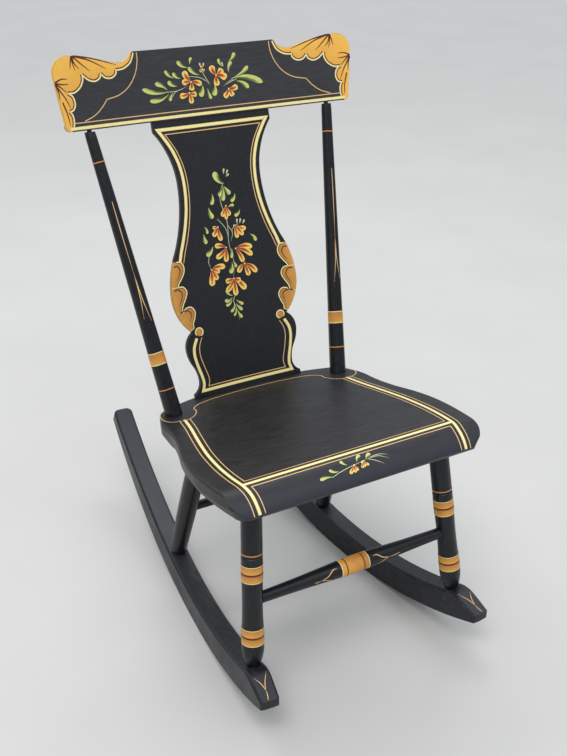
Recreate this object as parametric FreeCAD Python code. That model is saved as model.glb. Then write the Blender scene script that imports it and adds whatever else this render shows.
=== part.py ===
"""Armless fiddle back rocking chair with a plank seat, built from turned and shaped wood.

Sizes are millimetres. X runs across the chair, the front faces -Y and Z is up.
The origin lies on the floor, in the middle between the two ends of the rockers.
The chair stands in its balanced pose, so the lowest point of the rockers touches the floor.
Places along the chair are written as distances behind the tips of the rocker noses.
"""
import FreeCAD, Part
import math
import os

V = FreeCAD.Vector

# Rockers
rocker_length = 730.0
rocker_arc_radius = 730.0
rocker_arc_centre = 289.0
rocker_depth = 43.0
rocker_tail_depth = 25.0
rocker_width = 34.0
rocker_nose_gauge = 184.5
rocker_toe_in = 5.75
rocker_nose_run = 60.0
rocker_nose_bend_run = 22.0
rocker_nose_bend_drop = 6.6
rocker_nose_height = 11.0
rocker_nose_flat_run = 55.0
rocker_nose_flat_drop = 2.5
rocker_nose_width = 29.0
rocker_nose_corner = 4.0
rocker_nose_bow = 0.8
rocker_taper_start = 0.42
rocker_taper_middle = 0.72
rocker_taper_share = 0.33
rocker_tail_corner = 10.0
rocker_edge_bevel = 3.5

# Seat plank, with its outline measured along its own sloping top
seat_front = 56.0
seat_front_height = 368.5
seat_tilt = 6.35
seat_thickness = 34.0
seat_depth = 370.0
seat_roll_run = 42.0
seat_roll_drop = 29.0
seat_front_underside_setback = 3.0
seat_front_half_width = 205.5
seat_front_corner = 22.0
seat_widest_half_width = 212.0
seat_widest_at = 104.0
seat_waist_half_width = 183.5
seat_waist_at = 275.0
seat_rear_half_width = 175.0
seat_rear_corner_at = 311.0
seat_rear_flank_half_width = 151.0
seat_rear_flank_at = 343.0
seat_rear_corner_bulge = 7.0
seat_bevel_height = 16.0
seat_bevel_width = 9.0
seat_edge_round = 4.0

# Front legs, with heights measured up the leg from the top of the rocker
front_leg_top_gauge = 156.2
front_leg_top_at = 102.8
front_leg_foot_gauge = 176.5
front_leg_foot_at = 65.8
front_leg_top_diameter = 29.5
front_leg_upper_ring_diameter = 31.0
front_leg_waist_diameter = 29.2
front_leg_lower_ring_diameter = 32.4
front_leg_bullet_diameter = 27.5
front_leg_foot_diameter = 19.0
front_leg_upper_ring_height = 146.0
front_leg_lower_ring_height = 50.0
front_leg_bullet_height = 36.0
front_leg_bullet_turn = 0.35
front_leg_groove_height = 172.0
leg_groove_width = 3.0
leg_groove_depth = 1.1

# Rear legs
rear_leg_top_gauge = 126.0
rear_leg_top_inset = 107.0
rear_leg_foot_gauge = 144.0
rear_leg_foot_at = 400.0
rear_leg_top_diameter = 29.0
rear_leg_swell_diameter = 31.5
rear_leg_swell_height = 130.0
rear_leg_ankle_diameter = 28.0
rear_leg_ankle_height = 16.0
rear_leg_ankle_turn = 0.4
rear_leg_ankle_bulge = 0.7
rear_leg_foot_diameter = 22.0

# Stretchers
front_stretcher_height = 181.0
front_stretcher_end_diameter = 16.5
front_stretcher_middle_diameter = 26.0
rear_stretcher_height = 155.0
rear_stretcher_end_diameter = 14.5
rear_stretcher_middle_diameter = 18.0
stretcher_band_length = 54.0
stretcher_band_swell = 0.5
stretcher_hollow_at = 0.55
stretcher_hollow_share = 0.33
stretcher_tenon_diameter = 12.0
stretcher_tenon_past_axis = 2.0

# How far the shaped ends that are cut to sit against a neighbour reach along each piece
leg_scribe_length = 12.0
stretcher_scribe_length = 18.0
stile_scribe_length = 8.0

# Back stiles
stile_foot_gauge = 150.2
stile_foot_at = 370.0
stile_head_gauge = 201.0
stile_head_at = 504.5
stile_foot_diameter = 27.0
stile_head_diameter = 16.5
stile_neck_length = 9.0
stile_neck_diameter = 14.0
stile_neck_turn = 0.35
stile_neck_bulge = 0.67
stile_front_flat = 1.5

# Crest rail, with its outline measured up its own face
crest_front_at = 516.5
crest_bottom_height = 748.0
crest_lean = 12.0
crest_thickness = 12.0
crest_height = 103.0
crest_shoulder_half_width = 117.5
crest_bottom_inset = 15.5
crest_bottom_corner = 7.0
crest_side_inset = 4.3
crest_side_height = 40.0
crest_ear_half_width = 245.5
crest_ear_height = 80.0
crest_ear_corner = 7.0
crest_ear_top_inset = 25.5
crest_ear_top_height = 103.5
crest_sweep_end_half_width = 157.0
crest_sweep_end_height = 91.2
crest_sweep_bulge = 1.8
crest_dip_half_width = 139.5
crest_dip_height = 88.8
crest_back_bevel = 4.0

# The crest rail and the splat are bowed to one radius in plan
back_bow_radius = 1220.0

# Splat, with its outline measured up its own face
splat_front_at = 406.3
splat_lean = 15.0
splat_thickness = 7.0
splat_foot_half_width = 97.0
splat_foot_lip_height = 6.0
splat_cove_half_width = 84.5
splat_cove_height = 25.0
splat_lobe_half_width = 99.5
splat_lobe_height = 80.0
splat_notch_half_width = 85.5
splat_notch_height = 106.0
splat_hip_low_half_width = 101.0
splat_hip_low_height = 126.0
splat_hip_half_width = 111.0
splat_hip_height = 162.0
splat_thigh_half_width = 92.5
splat_thigh_height = 235.0
splat_waist_half_width = 71.0
splat_waist_height = 335.0
splat_head_half_width = 99.5
splat_head_straight = 16.0
splat_tenon_depth = 12.0
splat_tenon_shoulder = 7.0
splat_cove_shoulder = 6.0

# Joinery
leg_tenon_diameter = 20.0
leg_tenon_depth = 22.0
foot_tenon_diameter = 14.0
foot_tenon_depth = 27.0
stile_foot_tenon_diameter = 18.0
stile_foot_tenon_depth = 21.0
stile_head_tenon_diameter = 7.0
stile_head_tenon_depth = 22.0
stile_head_tenon_setback = 0.8
rocker_peg_diameter = 6.0
rocker_peg_below_top = 15.0
rocker_peg_wall = 4.0
crest_peg_diameter = 5.0
crest_peg_rise = 13.0
crest_peg_wall = 3.0
fit_clearance = 0.15
socket_end_clearance = 1.0
shoulder_gap = 0.2

# The reach of a block used to cut a shape off along a plane
cutter_reach = 400.0
# How far a turned blank runs on before its end is cut to fit
blank_excess = 14.0
trim_margin = 1.0
edge_tolerance = 0.1


def along(distance):
    """The Y of a place that lies this far behind the tips of the rocker noses."""
    return distance - rocker_length / 2


def mirrored(shape):
    """The same piece for the other side of the chair."""
    return shape.mirror(V(0, 0, 0), V(1, 0, 0))


def line(first, last):
    return Part.LineSegment(V(*first), V(*last)).toShape()


def arc(first, middle, last):
    return Part.Arc(V(*first), V(*middle), V(*last)).toShape()


def arc_from(start, direction, end):
    """An arc that leaves one point in a given direction and ends at another."""
    first = V(*start)
    last = V(*end)
    chord = last - first
    unit = V(*direction).normalize()
    side = unit - chord * (unit.dot(chord) / chord.Length ** 2)
    rise = chord.Length / 2 * math.tan(unit.getAngle(chord) / 2)
    return Part.Arc(first, first + chord * 0.5 + side.normalize() * rise, last).toShape()


def arc_into(start, end, direction):
    """An arc that arrives at its end in a given direction."""
    return arc_from(end, [-part for part in direction], start)


def wire_of(edges):
    return Part.Wire(Part.__sortEdges__(edges))


def prism(edges, path):
    """A closed outline swept straight along a vector."""
    return Part.Face(wire_of(edges)).extrude(path)


def both_halves(edges):
    """A half outline together with its mirror image."""
    return edges + [edge.mirror(V(0, 0, 0), V(1, 0, 0)) for edge in edges]


def rod(diameter, start, direction, length, back=0.0):
    """A round bar from a point along a direction, begun a little earlier if asked."""
    unit = V(direction).normalize()
    return Part.makeCylinder(diameter / 2, length + back, start - unit * back, unit)


def turned_run(start, middle, end, seams):
    """One run of a turning between two (height, diameter) stations, as spline edges.

    It is straight, or the parabola that goes through a middle station as well.
    A seam is a height at which the run is parted, so that a joint has a short face of its own.
    """
    poles = [start, end]
    length = end[0] - start[0]
    if middle:
        share = (middle[0] - start[0]) / length
        ends = start[1] * (1 - share) ** 2 + end[1] * share ** 2
        poles.insert(1, ((start[0] + end[0]) / 2, (middle[1] - ends) / (2 * share * (1 - share))))
    curve = Part.BezierCurve()
    curve.setPoles([V(diameter / 2, 0, height) for height, diameter in poles])
    inner = [(seam - start[0]) / length for seam in seams if start[0] < seam < end[0]]
    breaks = [0.0] + sorted(inner) + [1.0]
    edges = []
    for first, last in zip(breaks, breaks[1:]):
        run = curve.toBSpline()
        run.segment(first, last)
        edges.append(run.toShape())
    return edges


def turned(stations, base, direction, seams):
    """A turned piece on an axis. A station with a third value is the middle of a gentle curve."""
    start = stations[0]
    edges = [line((0, 0, start[0]), (start[1] / 2, 0, start[0]))]
    middle = None
    for station in stations[1:]:
        if len(station) == 3:
            middle = station[:2]
            continue
        edges += turned_run(start[:2], middle, station, seams)
        start = station
        middle = None
    edges.append(line((start[1] / 2, 0, start[0]), (0, 0, start[0])))
    edges.append(line((0, 0, start[0]), (0, 0, stations[0][0])))
    shape = Part.Face(wire_of(edges)).revolve(V(0, 0, 0), V(0, 0, 1), 360)
    shape.Placement = FreeCAD.Placement(base, FreeCAD.Rotation(V(0, 0, 1), direction))
    return shape


def half_space(point, normal):
    """A large block on the side of a plane that its normal points to."""
    corner = V(-cutter_reach, -cutter_reach, 0)
    block = Part.makeBox(2 * cutter_reach, 2 * cutter_reach, cutter_reach, corner)
    block.Placement = FreeCAD.Placement(point, FreeCAD.Rotation(V(0, 0, 1), normal))
    return block


def leaning_frame(distance, height, lean):
    """A placement whose local Z leans back by an angle in degrees."""
    return FreeCAD.Placement(V(0, along(distance), height), FreeCAD.Rotation(V(1, 0, 0), -lean))


def seat_height_at(distance):
    """The height of the plane of the seat's top at a place along the chair."""
    return seat_front_height - math.tan(math.radians(seat_tilt)) * (distance - seat_front)


def underside_height_at(distance):
    return seat_height_at(distance) - seat_thickness / math.cos(math.radians(seat_tilt))


def rocker_gauge(distance):
    """Half the distance between the centre lines of the two rockers."""
    return rocker_nose_gauge - math.tan(math.radians(rocker_toe_in)) * distance


def rocker_top_height(distance):
    """The height of the rocker's top over its middle stretch."""
    top_radius = rocker_arc_radius - rocker_depth
    return rocker_arc_radius - math.sqrt(top_radius ** 2 - (distance - rocker_arc_centre) ** 2)


def rocker_top_normal(distance):
    foot = V(0, along(distance), rocker_top_height(distance))
    return (V(0, along(rocker_arc_centre), rocker_arc_radius) - foot).normalize()


def point_at_height(foot, top, height):
    """The point of a post's axis at a height above the floor."""
    return foot + (top - foot) * ((height - foot.z) / (top.z - foot.z))


# Frames and axis ends that the pieces share, for the right-hand side where there are two
seat_frame = leaning_frame(seat_front, seat_front_height, seat_tilt)
seat_normal = seat_frame.Rotation.multVec(V(0, 0, 1))
crest_frame = leaning_frame(crest_front_at, crest_bottom_height, crest_lean)
crest_up = crest_frame.Rotation.multVec(V(0, 0, 1))
crest_back = crest_frame.Rotation.multVec(V(0, 1, 0))
splat_frame = leaning_frame(splat_front_at, seat_height_at(splat_front_at), splat_lean)
splat_length = (crest_bottom_height - seat_height_at(splat_front_at)) / math.cos(math.radians(splat_lean))
rocker_across = V(math.cos(math.radians(rocker_toe_in)), math.sin(math.radians(rocker_toe_in)), 0)
front_foot = V(front_leg_foot_gauge, along(front_leg_foot_at), rocker_top_height(front_leg_foot_at))
front_top = V(front_leg_top_gauge, along(front_leg_top_at), underside_height_at(front_leg_top_at))
rear_foot = V(rear_leg_foot_gauge, along(rear_leg_foot_at), rocker_top_height(rear_leg_foot_at))
rear_leg_top_at = seat_front + seat_depth - rear_leg_top_inset
rear_top = V(rear_leg_top_gauge, along(rear_leg_top_at), underside_height_at(rear_leg_top_at))
stile_foot = V(stile_foot_gauge, along(stile_foot_at), seat_height_at(stile_foot_at))
stile_head = V(stile_head_gauge, along(stile_head_at), crest_bottom_height)
front_stretcher_end = point_at_height(front_foot, front_top, front_stretcher_height)
rear_stretcher_end = point_at_height(rear_foot, rear_top, rear_stretcher_height)


def leg_joint_cutters(foot, top):
    """The socket for a leg in the seat and the one in the rocker."""
    up = (top - foot).normalize()
    seat_socket = rod(leg_tenon_diameter + 2 * fit_clearance, top, up,
                      leg_tenon_depth + socket_end_clearance, blank_excess)
    rocker_socket = rod(foot_tenon_diameter + 2 * fit_clearance, foot, -up,
                        foot_tenon_depth + socket_end_clearance, blank_excess)
    return seat_socket, rocker_socket


def rocker_peg(foot, top, extra):
    """The peg that locks a foot tenon, driven from the inner side of the rocker."""
    middle = foot + (foot - top).normalize() * rocker_peg_below_top
    nose = V(rocker_gauge(0), along(0), 0)
    inner = middle - rocker_across * ((middle - nose).dot(rocker_across) + rocker_width / 2)
    length = rocker_width - rocker_peg_wall + (socket_end_clearance if extra else 0)
    return rod(rocker_peg_diameter + 2 * extra, inner, rocker_across, length, 2 * extra)


def head_tenon_line():
    """Where the tenon at the head of a stile starts and the way it runs, inside the rail."""
    up = stile_head - stile_foot
    root = stile_head + crest_back * stile_head_tenon_setback
    return root, (up - crest_back * up.dot(crest_back)).normalize()


def head_tenon(diameter, depth):
    root, direction = head_tenon_line()
    return rod(diameter, root, direction, depth, stile_neck_length / 2)


def crest_peg(extra):
    """The peg that locks a stile's tenon, driven from the back of the crest rail."""
    root, direction = head_tenon_line()
    start = root + direction * crest_peg_rise
    bow = back_bow_radius - math.sqrt(back_bow_radius ** 2 - start.x ** 2)
    start += crest_back * (crest_thickness - bow - (start - crest_frame.Base).dot(crest_back))
    end_room = socket_end_clearance if extra else 0
    return rod(crest_peg_diameter + 2 * extra, start, -crest_back,
               crest_thickness - crest_peg_wall + end_room, 2 * extra)


def bowed_slab(thickness, bottom, top, grow=0.0):
    """A board's curved thickness between two levels, hollow to the front."""
    half_angle = math.degrees(math.asin((crest_ear_half_width + blank_excess) / back_bow_radius))
    front = -grow
    back = thickness + grow
    edges = [
        line((0, front, bottom), (0, back, bottom)),
        line((0, back, bottom), (0, back, top)),
        line((0, back, top), (0, front, top)),
        line((0, front, top), (0, front, bottom)),
    ]
    face = Part.Face(wire_of(edges))
    face.rotate(V(0, -back_bow_radius, 0), V(0, 0, 1), -half_angle)
    return face.revolve(V(0, -back_bow_radius, 0), V(0, 0, 1), 2 * half_angle)


def bowed_board(half_outline, thickness, bottom, top, grow=0.0):
    """A board cut to a symmetric outline from a curved blank, in its own frame."""
    outline = prism(both_halves(half_outline), V(0, cutter_reach, 0))
    outline.translate(V(0, -cutter_reach / 2, 0))
    return outline.common(bowed_slab(thickness, bottom, top, grow))


def placed(shape, frame):
    copy = shape.copy()
    copy.Placement = frame.multiply(copy.Placement)
    return copy


def tongue(bottom, top, half_width, grow):
    """A straight-sided tongue of the splat, or its mortise when it is grown."""
    width = half_width + grow
    edges = [
        line((0, 0, bottom), (width, 0, bottom)),
        line((width, 0, bottom), (width, 0, top)),
        line((width, 0, top), (0, 0, top)),
    ]
    return placed(bowed_board(edges, splat_thickness, bottom - trim_margin, top + trim_margin, grow),
                  splat_frame)


def splat_tongues(grow):
    """The splat's tongues into the seat and into the crest rail."""
    end = socket_end_clearance if grow else 0.0
    lower = tongue(-splat_tenon_depth - end, splat_lobe_height / 2,
                   splat_cove_half_width - splat_cove_shoulder, grow)
    upper = tongue(splat_length - splat_head_straight / 2, splat_length + splat_tenon_depth + end,
                   splat_head_half_width - splat_tenon_shoulder, grow)
    return lower, upper


def seat_outline(inset, level):
    """The plank's plan outline at a level, drawn in at the sides and the back."""
    forward = (0, -1, 0)
    flank = (seat_rear_flank_half_width - inset, seat_rear_flank_at - inset, level)
    rear = (0, seat_depth - inset, level)
    corner = (seat_rear_half_width - inset, seat_rear_corner_at, level)
    corner_middle = ((flank[0] + corner[0] + seat_rear_corner_bulge) / 2,
                     (flank[1] + corner[1] + seat_rear_corner_bulge) / 2, level)
    waist = (seat_waist_half_width - inset, seat_waist_at, level)
    widest = (seat_widest_half_width - inset, seat_widest_at, level)
    turn = ((waist[0] + widest[0]) / 2, (waist[1] + widest[1]) / 2, level)
    front_side = (seat_front_half_width - inset, seat_front_corner, level)
    front = (seat_front_half_width - inset - seat_front_corner, 0, level)
    half = [
        arc(flank, corner_middle, corner),
        arc_into(corner, waist, forward),
        arc_from(waist, forward, turn),
        arc_into(turn, widest, forward),
        arc_from(widest, forward, front_side),
        arc_from(front, (1, 0, 0), front_side),
    ]
    centre_lines = [
        arc((-flank[0], flank[1], level), rear, flank),
        line(front, (-front[0], 0, level)),
    ]
    return wire_of(both_halves(half) + centre_lines)


def seat_blank():
    """The plank before boring: shaped sides, bevelled under-edge and a rolled front."""
    softness = seat_edge_round * (1 - math.sqrt(0.5))
    levels = [
        seat_outline(seat_edge_round, 0.0),
        seat_outline(softness, -softness),
        seat_outline(0.0, -seat_edge_round),
        seat_outline(0.0, -seat_thickness + seat_bevel_height),
        seat_outline(seat_bevel_width, -seat_thickness),
    ]
    body = Part.makeLoft(levels, True, True)
    roll_start = (0, seat_roll_run, 0)
    roll_end = (0, 0, -seat_roll_drop)
    front_foot_edge = (0, seat_front_underside_setback, -seat_thickness)
    rear_top_edge = (0, seat_depth + blank_excess, 0)
    rear_foot_edge = (0, seat_depth + blank_excess, -seat_thickness)
    side = [
        line(roll_start, rear_top_edge),
        line(rear_top_edge, rear_foot_edge),
        line(rear_foot_edge, front_foot_edge),
        line(front_foot_edge, roll_end),
        arc_from(roll_start, (0, -1, 0), roll_end),
    ]
    profile = prism(side, V(2 * cutter_reach, 0, 0))
    profile.translate(V(-cutter_reach, 0, 0))
    return body.common(profile)


def build_seat():
    seat = placed(seat_blank(), seat_frame)
    cutters = []
    for foot, top in ((front_foot, front_top), (rear_foot, rear_top)):
        cutters.append(leg_joint_cutters(foot, top)[0])
    stile_down = (stile_foot - stile_head).normalize()
    cutters.append(rod(stile_foot_tenon_diameter + 2 * fit_clearance, stile_foot, stile_down,
                       stile_foot_tenon_depth + socket_end_clearance, blank_excess))
    cutters += [mirrored(cutter) for cutter in cutters]
    cutters.append(splat_tongues(fit_clearance)[0])
    for cutter in cutters:
        seat = seat.cut(cutter)
    return seat


def rocker_blank():
    """The right-hand rocker before boring: an arched bar with a falling nose and a thin tail."""
    radius = rocker_arc_radius
    scale = 1 / math.cos(math.radians(rocker_toe_in))
    start = -rocker_arc_centre * scale
    finish = (rocker_length - rocker_arc_centre) * scale

    def on_arc(y, height):
        return (0, y, radius - math.sqrt((radius - height) ** 2 - y ** 2))

    nose_arc_end = on_arc(start, 0)
    nose_heel = on_arc(start + rocker_nose_flat_run, 0)
    nose_foot = (0, start, nose_arc_end[2] - rocker_nose_flat_drop)
    nose_top = (0, start, nose_arc_end[2] + rocker_nose_height)
    break_y = start + rocker_nose_run
    nose_break = on_arc(break_y, rocker_depth)
    bend_end = on_arc(break_y - rocker_nose_bend_run, rocker_depth - rocker_nose_bend_drop)
    fall = -break_y / (radius - nose_break[2])
    tail_foot = V(*on_arc(finish, 0))
    tail_normal = (V(0, 0, radius) - tail_foot).normalize()
    tail_top = tail_foot + tail_normal * rocker_tail_depth
    taper_start = on_arc(finish * rocker_taper_start, rocker_depth)
    taper_loss = (rocker_depth - rocker_tail_depth) * rocker_taper_share
    taper_middle = on_arc(finish * rocker_taper_middle, rocker_depth - taper_loss)
    edges = [
        line(nose_foot, nose_heel),
        arc(nose_heel, on_arc(0, 0), tuple(tail_foot)),
        line(tuple(tail_foot), tuple(tail_top)),
        arc(tuple(tail_top), taper_middle, taper_start),
        arc(taper_start, on_arc(0, rocker_depth), nose_break),
        arc_from(nose_break, (0, -1, fall), bend_end),
        line(bend_end, nose_top),
        line(nose_top, nose_foot),
    ]
    bar = prism(edges, V(rocker_width, 0, 0))
    bar.translate(V(-rocker_width / 2, 0, 0))
    half = rocker_width / 2
    nose_half = rocker_nose_width / 2
    tip = nose_half - rocker_nose_corner
    beyond = finish + blank_excess
    plan = [
        arc((-tip, start + rocker_nose_bow, 0), (0, start, 0), (tip, start + rocker_nose_bow, 0)),
        line((-half, beyond, 0), (half, beyond, 0)),
    ] + both_halves([
        arc_from((tip, start + rocker_nose_bow, 0), (1, 0, 0), (nose_half, start + rocker_nose_corner, 0)),
        arc_into((nose_half, start + rocker_nose_corner, 0), (half, break_y, 0), (0, 1, 0)),
        line((half, break_y, 0), (half, beyond, 0)),
    ])
    return bar.common(prism(plan, V(0, 0, cutter_reach)))


def eased_rocker(bar):
    """The bar with its tail corners rounded and its long top edges bevelled."""
    finish = bar.BoundBox.YMax
    tail_edges = []
    for edge in bar.Edges:
        box = edge.BoundBox
        upright = box.XLength < edge_tolerance and box.ZLength > rocker_tail_corner / 2
        if upright and box.YMin > finish - rocker_tail_depth:
            tail_edges.append(edge)
    bar = bar.makeFillet(rocker_tail_corner, tail_edges)
    long_edges = []
    for edge in bar.Edges:
        middle = edge.valueAt((edge.FirstParameter + edge.LastParameter) / 2)
        top = rocker_arc_radius - (V(0, 0, rocker_arc_radius) - V(0, middle.y, middle.z)).Length
        if edge.BoundBox.YLength > rocker_nose_run * 2 and top > rocker_tail_depth / 2:
            long_edges.append(edge)
    return bar.makeChamfer(rocker_edge_bevel, long_edges)


def build_rocker():
    blank = eased_rocker(rocker_blank())
    place = V(rocker_gauge(rocker_arc_centre), along(rocker_arc_centre), 0)
    blank.Placement = FreeCAD.Placement(place, FreeCAD.Rotation(V(0, 0, 1), rocker_toe_in))
    rocker = blank
    for foot, top in ((front_foot, front_top), (rear_foot, rear_top)):
        rocker = rocker.cut(leg_joint_cutters(foot, top)[1])
        rocker = rocker.cut(rocker_peg(foot, top, fit_clearance))
    return rocker


def front_leg_stations(length, extra=0.0):
    """The front leg's turning, with a fuller ring at each band and a bullet foot."""
    groove = front_leg_groove_height
    shaft = (front_leg_top_diameter + front_leg_upper_ring_diameter) / 2
    waist_height = (front_leg_lower_ring_height + front_leg_upper_ring_height) / 2
    stations = [
        (-blank_excess, front_leg_foot_diameter),
        (0, front_leg_foot_diameter),
        (front_leg_bullet_height * front_leg_bullet_turn, front_leg_bullet_diameter, 1),
        (front_leg_bullet_height, front_leg_lower_ring_diameter),
        (front_leg_lower_ring_height, front_leg_lower_ring_diameter),
        (waist_height, front_leg_waist_diameter, 1),
        (front_leg_upper_ring_height, front_leg_upper_ring_diameter),
        (groove - leg_groove_width / 2, shaft),
        (groove, shaft - 2 * leg_groove_depth),
        (groove + leg_groove_width / 2, shaft),
        (length + blank_excess, front_leg_top_diameter),
    ]
    return [(s[0], s[1] + extra) + tuple(s[2:]) for s in stations]


def rear_leg_stations(length, extra=0.0):
    """The rear leg's turning: a plain swelling post with a rounded ankle."""
    ankle_turn = rear_leg_foot_diameter + (rear_leg_ankle_diameter - rear_leg_foot_diameter) * rear_leg_ankle_bulge
    stations = [
        (-blank_excess, rear_leg_foot_diameter),
        (0, rear_leg_foot_diameter),
        (rear_leg_ankle_height * rear_leg_ankle_turn, ankle_turn, 1),
        (rear_leg_ankle_height, rear_leg_ankle_diameter),
        (rear_leg_swell_height, rear_leg_swell_diameter, 1),
        (length + blank_excess, rear_leg_top_diameter),
    ]
    return [(s[0], s[1] + extra) + tuple(s[2:]) for s in stations]


def leg_blank(stations_of, foot, top, extra=0.0, seams=()):
    return turned(stations_of((top - foot).Length, extra), foot, top - foot, seams)


def build_leg(stations_of, foot, top, foot_at, stretcher_end):
    """A leg with its ends scribed to the seat and the rocker, and a tenon at each end."""
    up = (top - foot).normalize()
    bore = (stretcher_end - foot).Length
    seams = (bore - stretcher_tenon_diameter, bore + stretcher_tenon_diameter,
             (top - foot).Length - leg_scribe_length)
    leg = leg_blank(stations_of, foot, top, 0.0, seams)
    leg = leg.cut(half_space(top - seat_normal * shoulder_gap, seat_normal))
    rocker_normal = rocker_top_normal(foot_at)
    leg = leg.cut(half_space(foot + rocker_normal * shoulder_gap, -rocker_normal))
    leg = leg.fuse(rod(leg_tenon_diameter, top, up, leg_tenon_depth, blank_excess))
    leg = leg.fuse(rod(foot_tenon_diameter, foot, -up, foot_tenon_depth, blank_excess))
    inward = V(-1, 0, 0)
    leg = leg.cut(rod(stretcher_tenon_diameter + 2 * fit_clearance, stretcher_end, inward, leg_tenon_diameter,
                      stretcher_tenon_past_axis + socket_end_clearance))
    return leg.cut(rocker_peg(foot, top, fit_clearance)).removeSplitter()


def build_stretcher(end, stations_of, foot, top, end_diameter, middle_diameter):
    """A turned rail between two legs, hollowed at its ends to sit against them."""
    half = end.x
    band = stretcher_band_length / 2
    slender = end_diameter + (middle_diameter - end_diameter) * stretcher_hollow_share
    hollow = (half - band) * stretcher_hollow_at
    stations = [
        (0, end_diameter),
        (hollow, slender, 1),
        (half - band, middle_diameter - stretcher_band_swell),
        (half, middle_diameter, 1),
        (half + band, middle_diameter - stretcher_band_swell),
        (2 * half - hollow, slender, 1),
        (2 * half, end_diameter),
    ]
    left_end = V(-end.x, end.y, end.z)
    seams = (stretcher_scribe_length, 2 * half - stretcher_scribe_length)
    rail = turned(stations, left_end, V(1, 0, 0), seams)
    envelope = leg_blank(stations_of, foot, top, 2 * shoulder_gap)
    rail = rail.cut(envelope).cut(mirrored(envelope))
    start = left_end - V(stretcher_tenon_past_axis, 0, 0)
    tenons = rod(stretcher_tenon_diameter, start, V(1, 0, 0), 2 * (half + stretcher_tenon_past_axis))
    return rail.fuse(tenons).removeSplitter()


def flattened_section(height, diameter):
    """A round section of the stile with a flat on its front, in the stile's own frame."""
    radius = diameter / 2
    flat = radius - stile_front_flat
    half = math.sqrt(radius ** 2 - flat ** 2)
    left = (-half, -flat, height)
    right = (half, -flat, height)
    return wire_of([arc(left, (0, radius, height), right), line(right, left)])


def build_stile():
    """A tapering back post, flattened in front and rounded in under the crest rail."""
    axis = stile_head - stile_foot
    length = axis.Length
    up = V(axis).normalize()
    foot_end = stile_scribe_length + blank_excess
    neck = length - stile_neck_length
    shoulder = length - stile_neck_length * stile_neck_turn
    taper = (stile_head_diameter - stile_foot_diameter) / neck
    rounding = (stile_head_diameter - stile_neck_diameter) * stile_neck_bulge
    post = Part.makeLoft([
        flattened_section(-blank_excess, stile_foot_diameter),
        flattened_section(foot_end, stile_foot_diameter + taper * foot_end),
        flattened_section(neck, stile_head_diameter),
        flattened_section(shoulder, stile_neck_diameter + rounding),
        flattened_section(length + blank_excess, stile_neck_diameter),
    ], True, True)
    forward = V(0, -1, 0)
    front = (forward - up * forward.dot(up)).normalize()
    turn = FreeCAD.Rotation(up.cross(front), -front, up, "ZXY")
    post.Placement = FreeCAD.Placement(stile_foot, turn)
    post = post.cut(half_space(stile_foot + seat_normal * shoulder_gap, -seat_normal))
    post = post.cut(half_space(stile_head - crest_up * shoulder_gap, crest_up))
    post = post.fuse(rod(stile_foot_tenon_diameter, stile_foot, -up, stile_foot_tenon_depth, blank_excess))
    post = post.fuse(head_tenon(stile_head_tenon_diameter, stile_head_tenon_depth))
    return post.cut(crest_peg(fit_clearance)).removeSplitter()


def crest_outline():
    """Half of the crest rail's outline: a raised middle, a sweep and a rounded ear."""
    inward = (-1, 0, 0)
    corner = crest_bottom_corner
    bottom_half_width = crest_ear_half_width - crest_bottom_inset
    bottom = (bottom_half_width, 0, 0)
    side = (bottom_half_width + corner, 0, corner)
    middle_side = (crest_ear_half_width - crest_side_inset, 0, crest_side_height)
    ear = (crest_ear_half_width, 0, crest_ear_height)
    ear_turn = (crest_ear_half_width - crest_ear_corner, 0, crest_ear_top_height - crest_ear_corner)
    ear_top = (crest_ear_half_width - crest_ear_top_inset, 0, crest_ear_top_height)
    sweep_end = (crest_sweep_end_half_width, 0, crest_sweep_end_height)
    sweep_middle = ((ear_top[0] + sweep_end[0]) / 2, 0, (ear_top[2] + sweep_end[2]) / 2 + crest_sweep_bulge)
    dip = (crest_dip_half_width, 0, crest_dip_height)
    shoulder = (crest_shoulder_half_width, 0, crest_height)
    return [
        line((0, 0, 0), bottom),
        arc_from(bottom, (1, 0, 0), side),
        arc(side, middle_side, ear),
        arc(ear, ear_turn, ear_top),
        arc(ear_top, sweep_middle, sweep_end),
        arc_into(sweep_end, dip, inward),
        arc_from(dip, inward, shoulder),
        line(shoulder, (0, 0, crest_height)),
    ]


def build_crest():
    blank = bowed_board(crest_outline(), crest_thickness, -trim_margin, crest_ear_top_height + blank_excess)
    rear_edges = []
    for edge in blank.Edges:
        middle = edge.valueAt((edge.FirstParameter + edge.LastParameter) / 2)
        radius = math.hypot(middle.x, middle.y + back_bow_radius)
        if radius > back_bow_radius + crest_thickness - fit_clearance and middle.z > crest_bottom_corner:
            rear_edges.append(edge)
    crest = placed(blank.makeChamfer(crest_back_bevel, rear_edges), crest_frame)
    socket = head_tenon(stile_head_tenon_diameter + 2 * fit_clearance,
                        stile_head_tenon_depth + socket_end_clearance)
    for cutter in (socket, crest_peg(fit_clearance)):
        crest = crest.cut(cutter).cut(mirrored(cutter))
    return crest.cut(splat_tongues(fit_clearance)[1])


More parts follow.
